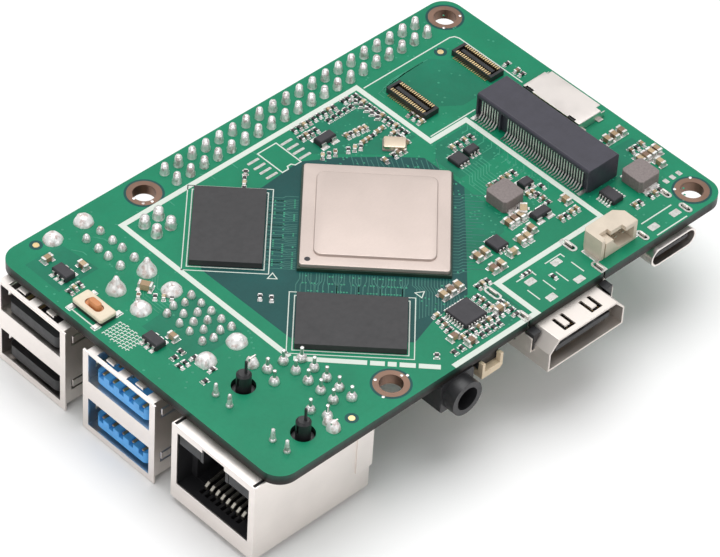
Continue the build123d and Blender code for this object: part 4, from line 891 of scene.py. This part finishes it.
def joints():
    """Through-hole joints on the processor side, one at each pin or tab of the CAD frame."""
    cones = Build()
    for x, y in tips("gpio_header_pins", above=1.0, reach=0.8):
        cone_joint(cones, x, y, 0.68, HEADER_JOINT_H)
    for x, y in tips("power_header_pins", above=1.0, reach=0.8):
        cone_joint(cones, x, y, 0.84, HEADER_JOINT_H, fat=1.05)
    cones.piece("header_joints", SOLDER, TINNED, smooth=50)
    pins = Build()
    for x, y in tips("usb2_contacts", above=0.3, reach=0.7):
        dome_joint(pins, x, y, 0.64, 1.05)
    for x, y in tips("usb3_contacts", above=0.3, reach=0.7):
        dome_joint(pins, x, y, 0.58, 1.02)
    pins.piece("usb_pin_joints", SOLDER, TINNED, smooth=50)
    net = Build()
    ends = tips("ethernet_pins", above=0.5, reach=0.7)
    lamp_row = min(x for x, y in ends)
    for x, y in ends:
        if x > lamp_row + 1:
            round_joint(net, x, y, 0.75, 1.05)
            net.lathe(x, y, [(0.255, 2.0), (0.27, 2.12), (0.25, 2.24), (0.12, 2.3), (0, 2.31)], 12)
        else:
            round_joint(net, x, y, 0.52, 0.62)
            net.lathe(x, y, [(0.4, 0.5), (0.33, 1.1), (0.28, 1.75), (0.24, 2.02), (0.1, 2.12), (0, 2.13)], 12)
    net.piece("network_pin_joints", SOLDER, TINNED, smooth=50)
    tabs = Build()
    for x, y in tips("usb2_shell", above=0.4, reach=1.7):
        tab_blob(tabs, x, y, 1.42, tall=y < TALL_DROP_Y)
    for x, y in tips("usb3_shell", above=0.4, reach=1.7):
        tab_blob(tabs, x, y, 1.5)
    for x, y in tips("ethernet_shell", above=0.6, reach=1.3):
        if y < DOME_PAIR_Y:
            dome_joint(tabs, x, y + 0.1, 0.95, 1.45)
            dome_joint(tabs, x + 0.15, y + 1.35, 0.72, 1.25)
        else:
            tab_blob(tabs, x, y, 0.95)
    tabs.piece("shield_tab_joints", HEAPED, TINNED, smooth=50)
    rings = Build()
    for x in (-6.7, 7.9):
        for y in (-21.1, -27.1):
            slot_ring(rings, x, y, 1.2, 2.9)
    for x in (17.03, 25.67):
        for y in (-22.5, -26.4):
            slot_ring(rings, x, y, 1.0, 2.2)
    rings.piece("slot_joints", LAND, TINNED, smooth=40)


def tab_blob(build, x, y, radius, tall=False):
    """Heap of solder on a shield tab, or a smooth drop drawn up along it."""
    if tall:
        drop = ((1.0, UPPER), (0.96, 0.25), (0.84, 0.65), (0.62, 1.15), (0.42, 1.65), (0.3, 2.1),
                (0.2, 2.45), (0, 2.62))
        build.lathe(x, y, [(radius * share, z) for share, z in drop], 24, wobble=0.03)
        return
    h = 1.25
    profile = [(radius, UPPER), (radius * 0.98, 0.2), (radius * 0.84, 0.55), (radius * 0.62, h * 0.75),
               (radius * 0.36, h * 0.96), (0, h)]
    build.lathe(x, y, profile, 22, wobble=0.04)
    for _ in range(2):
        dx = draw.uniform(-0.45, 0.45) * radius
        dy = draw.uniform(-0.45, 0.45) * radius
        dome_joint(build, x + dx, y + dy, radius * 0.5, h * draw.uniform(1.0, 1.15))


def slot_ring(build, x, y, width, length):
    """Rim of solder round a slotted tab hole, cut short at the board's edge."""
    rim = 0.3
    nearest = EDGE_Y + rim / 2 + 0.02
    half = length / 2 - width / 2
    r = width / 2 - 0.12
    route = []
    for end, start in ((1, 0), (-1, 180)):
        for step in range(7):
            angle = math.radians(start + step * 30)
            route.append((x + r * math.cos(angle), max(nearest, y + end * half + r * math.sin(angle))))
    build.ribbon(route, rim, UPPER, 0.09, closed=True)


# ---- small parts ----
def hull_order(points):
    """Points of a convex footprint in order round their middle."""
    cx = sum(p[0] for p in points) / len(points)
    cy = sum(p[1] for p in points) / len(points)
    return sorted(points, key=lambda p: math.atan2(p[1] - cy, p[0] - cx)), (cx, cy)


def grown(points, centre, factor):
    """A footprint made larger or smaller about its middle."""
    cx, cy = centre
    return [(cx + (x - cx) * factor, cy + (y - cy) * factor) for x, y in points]


def foot_fillets(build, node, spread, rise):
    """Solder under and round the foot of every terminal of a node, on either side of the board."""
    for points in islands(node):
        middle = sum(p.z for p in points) / len(points)
        on_top = middle > LOWER / 2
        face = UPPER if on_top else LOWER
        reach = 0.05
        foot = {(round(p.x, 3), round(p.y, 3)) for p in points if abs(p.z - face) < reach}
        if len(foot) < 3:
            continue
        ordered, centre = hull_order(list(foot))
        away = 1 if on_top else -1
        z0, z1 = sorted((face, face + away * PAD_T))
        build.prism(grown(ordered, centre, spread), z0, z1)
        low = grown(ordered, centre, (spread + 1) / 2)
        high = grown(ordered, centre, 1.04)
        if on_top:
            build.prism(low, z1, face + rise, top=high)
        else:
            build.prism(high, face - rise, z0, top=low)


class Passives:
    """Ceramic chips that are too small and many to be CAD nodes."""

    def __init__(self):
        self.tan, self.black, self.ends, self.pads = (Build() for _ in range(4))

    def put(self, x, y, turn, black, length):
        """One chip with its end caps, lands and solder."""
        width = length / 2
        height = 0.34 if black else width
        x += draw.uniform(-0.04, 0.04)
        y += draw.uniform(-0.04, 0.04)
        turn += draw.uniform(-3, 3)
        cap = length * 0.22
        body = self.black if black else self.tan
        body.slab(x, y, length - 2 * cap, width - 0.02, 0.02, height, turn)
        for side in (-1, 1):
            cx, cy = turned(side * (length - cap) / 2, 0, turn, x, y)
            self.ends.slab(cx, cy, cap, width, 0.02, height + 0.015, turn)
            cx, cy = turned(side * (length / 2 + 0.02), 0, turn, x, y)
            self.pads.slab(cx, cy, cap * 2.1, width * 1.25, UPPER, PAD_T, turn)
            outer = rectangle(cx, cy, cap * 1.7, width * 1.1, turn)
            self.pads.prism(outer, PAD_T, height * 0.5, top=grown(outer, (cx, cy), 0.55))

    def row(self, x, y, step_x, step_y, count, turn, pattern, length=1.0):
        """A row of chips; the pattern, repeated, says t for tan, b for black, or a gap."""
        for i in range(count):
            kind = pattern[i % len(pattern)]
            if kind != " ":
                self.put(x + i * step_x, y + i * step_y, turn, kind == "b", length)

    def pieces(self):
        self.tan.piece("fine_capacitors", CAPACITOR, "ceramic_tan", bevel=0.03)
        self.black.piece("fine_resistors", CHIP_BLACK, "resistor_black", bevel=0.02)
        self.ends.piece("fine_end_caps", SOLDER, TINNED, bevel=0.03)
        self.pads.piece("fine_pads", SOLDER, TINNED)


# First chip (x, y), step (x, y), count, turn in degrees, pattern, and length where it is not 1.
CHIP_ROWS = (
    (-4.6, 20.5, 0.95, 0, 12, 90, "bbtbbbbtb bb"),
    (6.9, 20.4, 0, -0.95, 12, 0, "bbtbbbtbbtbb"),
    (-4.9, 18.6, 0.9, 0, 4, 90, "btb"),
    (-5.2, 14.0, 0.9, -0.35, 7, 45, "tbt b"),
    (0.2, 14.8, 0.8, -0.1, 5, 90, "tbtt"),
    (1.0, 12.4, 1.0, 0.1, 5, 0, "ttb"),
    (0.8, 7.6, 0.85, 0, 6, 90, "t bt"),
    (5.6, 11.0, 0, -0.9, 4, 0, "tbt"),
    (8.2, -5.8, 1.1, 0, 5, 90, "tbttb"),
    (10.9, -10.4, 0.9, 0, 4, 90, "tt b"),
    (4.6, -12.8, 1.15, 0, 3, 90, "t", 1.6),
    (3.4, -16.4, 1.2, 0, 2, 90, "t", 1.6),
    (10.9, -16.8, 1.0, 0, 4, 90, "tbt"),
    (11.8, -11.2, 0, -1.0, 3, 0, "bt"),
    (9.8, 3.4, 1.2, 0, 4, 90, "tbtb"),
    (-7.4, -19.0, 0.9, 0, 3, 90, "btb"),
    (-15.6, -19.3, -0.2, -1.0, 4, 0, "tbtb"),
    (-8.9, -20.2, 0, -1.0, 5, 0, "btbtb"),
    (-15.8, -24.6, 1.0, 0, 8, 90, "tbbtbtbb"),
    (-7.2, -23.0, 0, -1.0, 4, 0, "btbb"),
    (-45.4, -4.0, 0.1, -1.1, 4, 0, "bbtb"),
    (-47.9, -4.0, 0.95, 0, 2, 90, "b"),
    (-43.2, 9.6, 0.8, -0.8, 5, 45, "t btb"),
    (-49.6, 16.2, 1.0, 0.1, 3, 90, "btb"),
    (16.9, -21.0, 0, -1.1, 3, 0, "btb"),
    (19.3, -14.4, 1.0, 0, 5, 90, "tbtbb"),
    (20.6, -21.6, 1.0, 0, 6, 90, "tb btb"),
    (28.4, -13.4, 1.1, 0, 3, 90, "tbt"),
    (27.9, -15.6, 1.1, 0, 4, 90, "t", 1.6),
    (28.4, 8.2, 0, 1.0, 4, 0, "bt b"),
    (10.2, 10.2, 0, 1.05, 3, 0, "tbb"),
    (-0.9, -21.4, 0.6, 0, 2, 0, "b"),
    (1.8, -24.2, 0, 0, 1, 90, "b"),
    (-18.0, 16.2, 0.7, 0.7, 3, 45, "btb"),
    (-31.0, -1.2, 1.0, -1.2, 2, 45, "b"),
)


def fine_passives():
    chips = Passives()
    for row in CHIP_ROWS:
        chips.row(*row)
    chips.pieces()


# Node, material and edge radius, and the steps in that radius where they are not 2.
SMALL_PARTS = (
    ("capacitor_bodies", CAPACITOR, 0.03),
    ("resistor_bodies", CHIP_BLACK, 0.02),
    ("chip_end_caps", TERMINAL, 0.04),
    ("small_chips", RESIN_DARK, 0.06),
    ("audio_codec_chip", RESIN_DARK, 0.05),
    ("power_management_chip", RESIN_DARK, 0.05),
    ("ethernet_phy_chip", RESIN_DARK, 0.05),
    ("power_inductors", CHOKE, 0.08),
    ("crystal_can", CAN, 0.04),
    ("crystal_base", BASE, 0.03),
)
CHOKE_END_H = 0.45
# Node, spread of the solder beyond the foot, and how far it climbs.
SOLDERED_FEET = (
    ("chip_end_caps", 1.7, 0.3),
    ("chip_leads", 1.5, 0.08),
    ("button_terminals", 1.35, 0.2),
    ("fan_socket_pins", 1.25, 0.12),
)


def small_part_finish():
    """CAD chips, passives and their leads, with rounded edges and solder at their feet."""
    for row in SMALL_PARTS:
        refined(*row)
    fillets = Build()
    for node, spread, rise in SOLDERED_FEET:
        foot_fillets(fillets, node, spread, rise)
    fillets.piece("surface_joints", SOLDER, TINNED)
    chokes = Build()
    for points in islands("power_inductors"):
        low = Vector((min(p.x for p in points), min(p.y for p in points)))
        high = Vector((max(p.x for p in points), max(p.y for p in points)))
        middle = (low + high) / 2
        on_top = points[0].z > LOWER / 2
        z0, z1 = (UPPER, PAD_T) if on_top else (LOWER - PAD_T, LOWER)
        rise0, rise1 = (UPPER, CHOKE_END_H) if on_top else (LOWER - CHOKE_END_H, LOWER)
        for side in (-1, 1):
            chokes.slab(middle.x, middle.y + side * 1.9, 3.0, 1.1, z0, z1, corner=0.1)
            chokes.slab(middle.x, middle.y + side * 2.03, 2.4, 0.12, rise0, rise1)
    chokes.piece("choke_terminals", SOLDER, TINNED)


# ---- processor and memory ----
def processor():
    """Lid, substrate, the dot at the first corner, and the memory chips."""
    refined("processor_lid", LID, 0.05, 3)
    refined("processor_substrate", LAMINATE, 0.03)
    dot = Build()
    x, y = soc(-9.15, 9.15)
    top = 1.1
    dot.lathe(x, y, [(0.42, top - 0.05), (0.42, top + 0.008), (0.3, top + 0.012), (0, top + 0.012)], 24)
    dot.piece("corner_mark", RESIN_DARK, "package_resin", smooth=40)
    refined("memory_chips", RESIN, 0.05)


# ---- sockets ----
# Columns as in SMALL_PARTS.
SOCKETS = (
    ("usb2_shell", STEEL, 0.07),
    ("usb3_shell", STEEL, 0.07),
    ("ethernet_shell", STEEL, 0.06),
    ("hdmi_shell", STEEL_DULL, 0.06),
    ("usbc_shell", STEEL, 0.05),
    ("memory_card_cover", STEEL, 0.04),
    ("usb2_insulator", BLACK, 0.08),
    ("usb3_insulator", BLUE, 0.08),
    ("ethernet_housing", BLACK, 0.06),
    ("ethernet_contact_carrier", BLACK, 0.06),
    ("ethernet_light_pipes", SMOKE, 0.1),
    ("hdmi_insulator", BLACK, 0.06),
    ("usbc_insulator", BLACK, 0.05),
    ("audio_socket_body", BLACK, 0.18, 3),
    ("gpio_header_block", BLACK, 0.08),
    ("power_header_block", BLACK, 0.08),
    ("camera_socket_housing", BLACK, 0.08),
    ("display_socket_housing", BLACK, 0.08),
    ("camera_socket_latch", BEIGE, 0.08),
    ("display_socket_latch", BEIGE, 0.08),
    ("card_socket_housing", SLATE, 0.09),
    ("memory_card_base", BLACK, 0.04),
    ("module_socket_housings", BLACK, 0.04),
    ("fan_socket_housing", IVORY, 0.1),
    ("button_body", CREAM, 0.06),
    ("button_actuator", ORANGE, 0.06),
)


def socket_finish():
    for row in SOCKETS:
        refined(*row)


PLAIN_NODES = {
    WIRE: ("ethernet_contacts",),
    GOLD: ("gpio_header_pins", "power_header_pins", "usb2_contacts", "usb3_contacts", "hdmi_contacts",
           "usbc_contacts", "memory_card_contacts", "module_socket_contacts"),
    TIN: ("ethernet_pins", "audio_socket_contacts", "camera_socket_contacts", "display_socket_contacts",
          "card_socket_contacts", "fan_socket_pins", "button_terminals", "chip_leads"),
    STEEL_INSIDE: ("button_dome",),
    FERRITE: ("ethernet_transformers",),
    MASK: ("circuit_board", "ethernet_inner_board"),
}


def plain_nodes():
    """CAD nodes whose shape stays: they only get a finish."""
    for material, nodes in PLAIN_NODES.items():
        for node in nodes:
            mesh = NODES[node].data
            for index in range(len(mesh.materials)):
                mesh.materials[index] = material


# ---- stage ----
# The photo's camera. Azimuth 0 looks from the front; distance and shifts are millimetres.
AZIMUTH = math.radians(-46.14)
ELEVATION = math.radians(43.39)
ROLL = math.radians(3.69)
DISTANCE = 569.5
SHIFT_RIGHT = -8.2
SHIFT_UP = -11.99
LENS = 206.2
SENSOR = 36.0
FLOOR_GAP = 0.0001  # metres
FLOOR_HALF = 1.5  # metres
WORLD_LIGHT = 0.4


def camera():
    back = Vector((math.sin(AZIMUTH) * math.cos(ELEVATION), -math.cos(AZIMUTH) * math.cos(ELEVATION),
                   math.sin(ELEVATION)))
    right = Vector((math.cos(AZIMUTH), math.sin(AZIMUTH), 0))
    up = back.cross(right)
    right_r = right * math.cos(ROLL) + up * math.sin(ROLL)
    up_r = up * math.cos(ROLL) - right * math.sin(ROLL)
    place = (right_r * SHIFT_RIGHT + up_r * SHIFT_UP + back * DISTANCE) * MM
    data = bpy.data.cameras.new("camera")
    data.lens = LENS
    data.sensor_width = SENSOR
    data.clip_start = 0.01
    data.clip_end = 20.0
    data.dof.use_dof = False
    lens = placed("camera", data)
    turn = Matrix((right_r, up_r, back)).transposed().to_4x4()
    lens.matrix_world = Matrix.Translation(place) @ turn
    bpy.context.scene.camera = lens


def softbox(name, place, target, size, power):
    """White area lamp; places and size in metres, power in watts."""
    data = bpy.data.lights.new(name, "AREA")
    data.shape = "RECTANGLE"
    data.size, data.size_y = size
    data.energy = power
    lamp = placed(name, data)
    lamp.location = place
    aim = Vector(target) - Vector(place)
    lamp.rotation_euler = aim.to_track_quat("-Z", "Y").to_euler()


def stage():
    """White paper under the part, a pale world and three soft lamps."""
    rest = cad_box[0][2] - FLOOR_GAP
    mesh = bpy.data.meshes.new("floor")
    corners = [(x * FLOOR_HALF, y * FLOOR_HALF, rest) for x, y in ((-1, -1), (1, -1), (1, 1), (-1, 1))]
    mesh.from_pydata(corners, [], [(0, 1, 2, 3)])
    mesh.materials.append(floor_paint("floor_paper"))
    floor = placed("floor", mesh)
    world = bpy.data.worlds.new("studio")
    world.use_nodes = True
    background = world.node_tree.nodes["Background"]
    background.inputs["Color"].default_value = (1, 1, 1, 1)
    background.inputs["Strength"].default_value = WORLD_LIGHT
    bpy.context.scene.world = world
    softbox("overhead", (0.07, 0.15, 0.75), (-0.01, 0, 0), (0.75, 0.75), 5.6)
    softbox("front_left", (-0.7, -0.15, 0.3), (-0.02, 0, 0), (0.5, 0.4), 0.9)
    softbox("front_right", (0.1, -0.75, 0.25), (-0.01, 0, 0), (0.5, 0.4), 0.9)
    bpy.context.scene.view_settings.view_transform = "Standard"
    bpy.context.scene.view_settings.look = "None"


pours()
tracks()
vias()
hole_rings()
legend()
bare_pads()
joints()
fine_passives()
small_part_finish()
processor()
socket_finish()
plain_nodes()
camera()
stage()
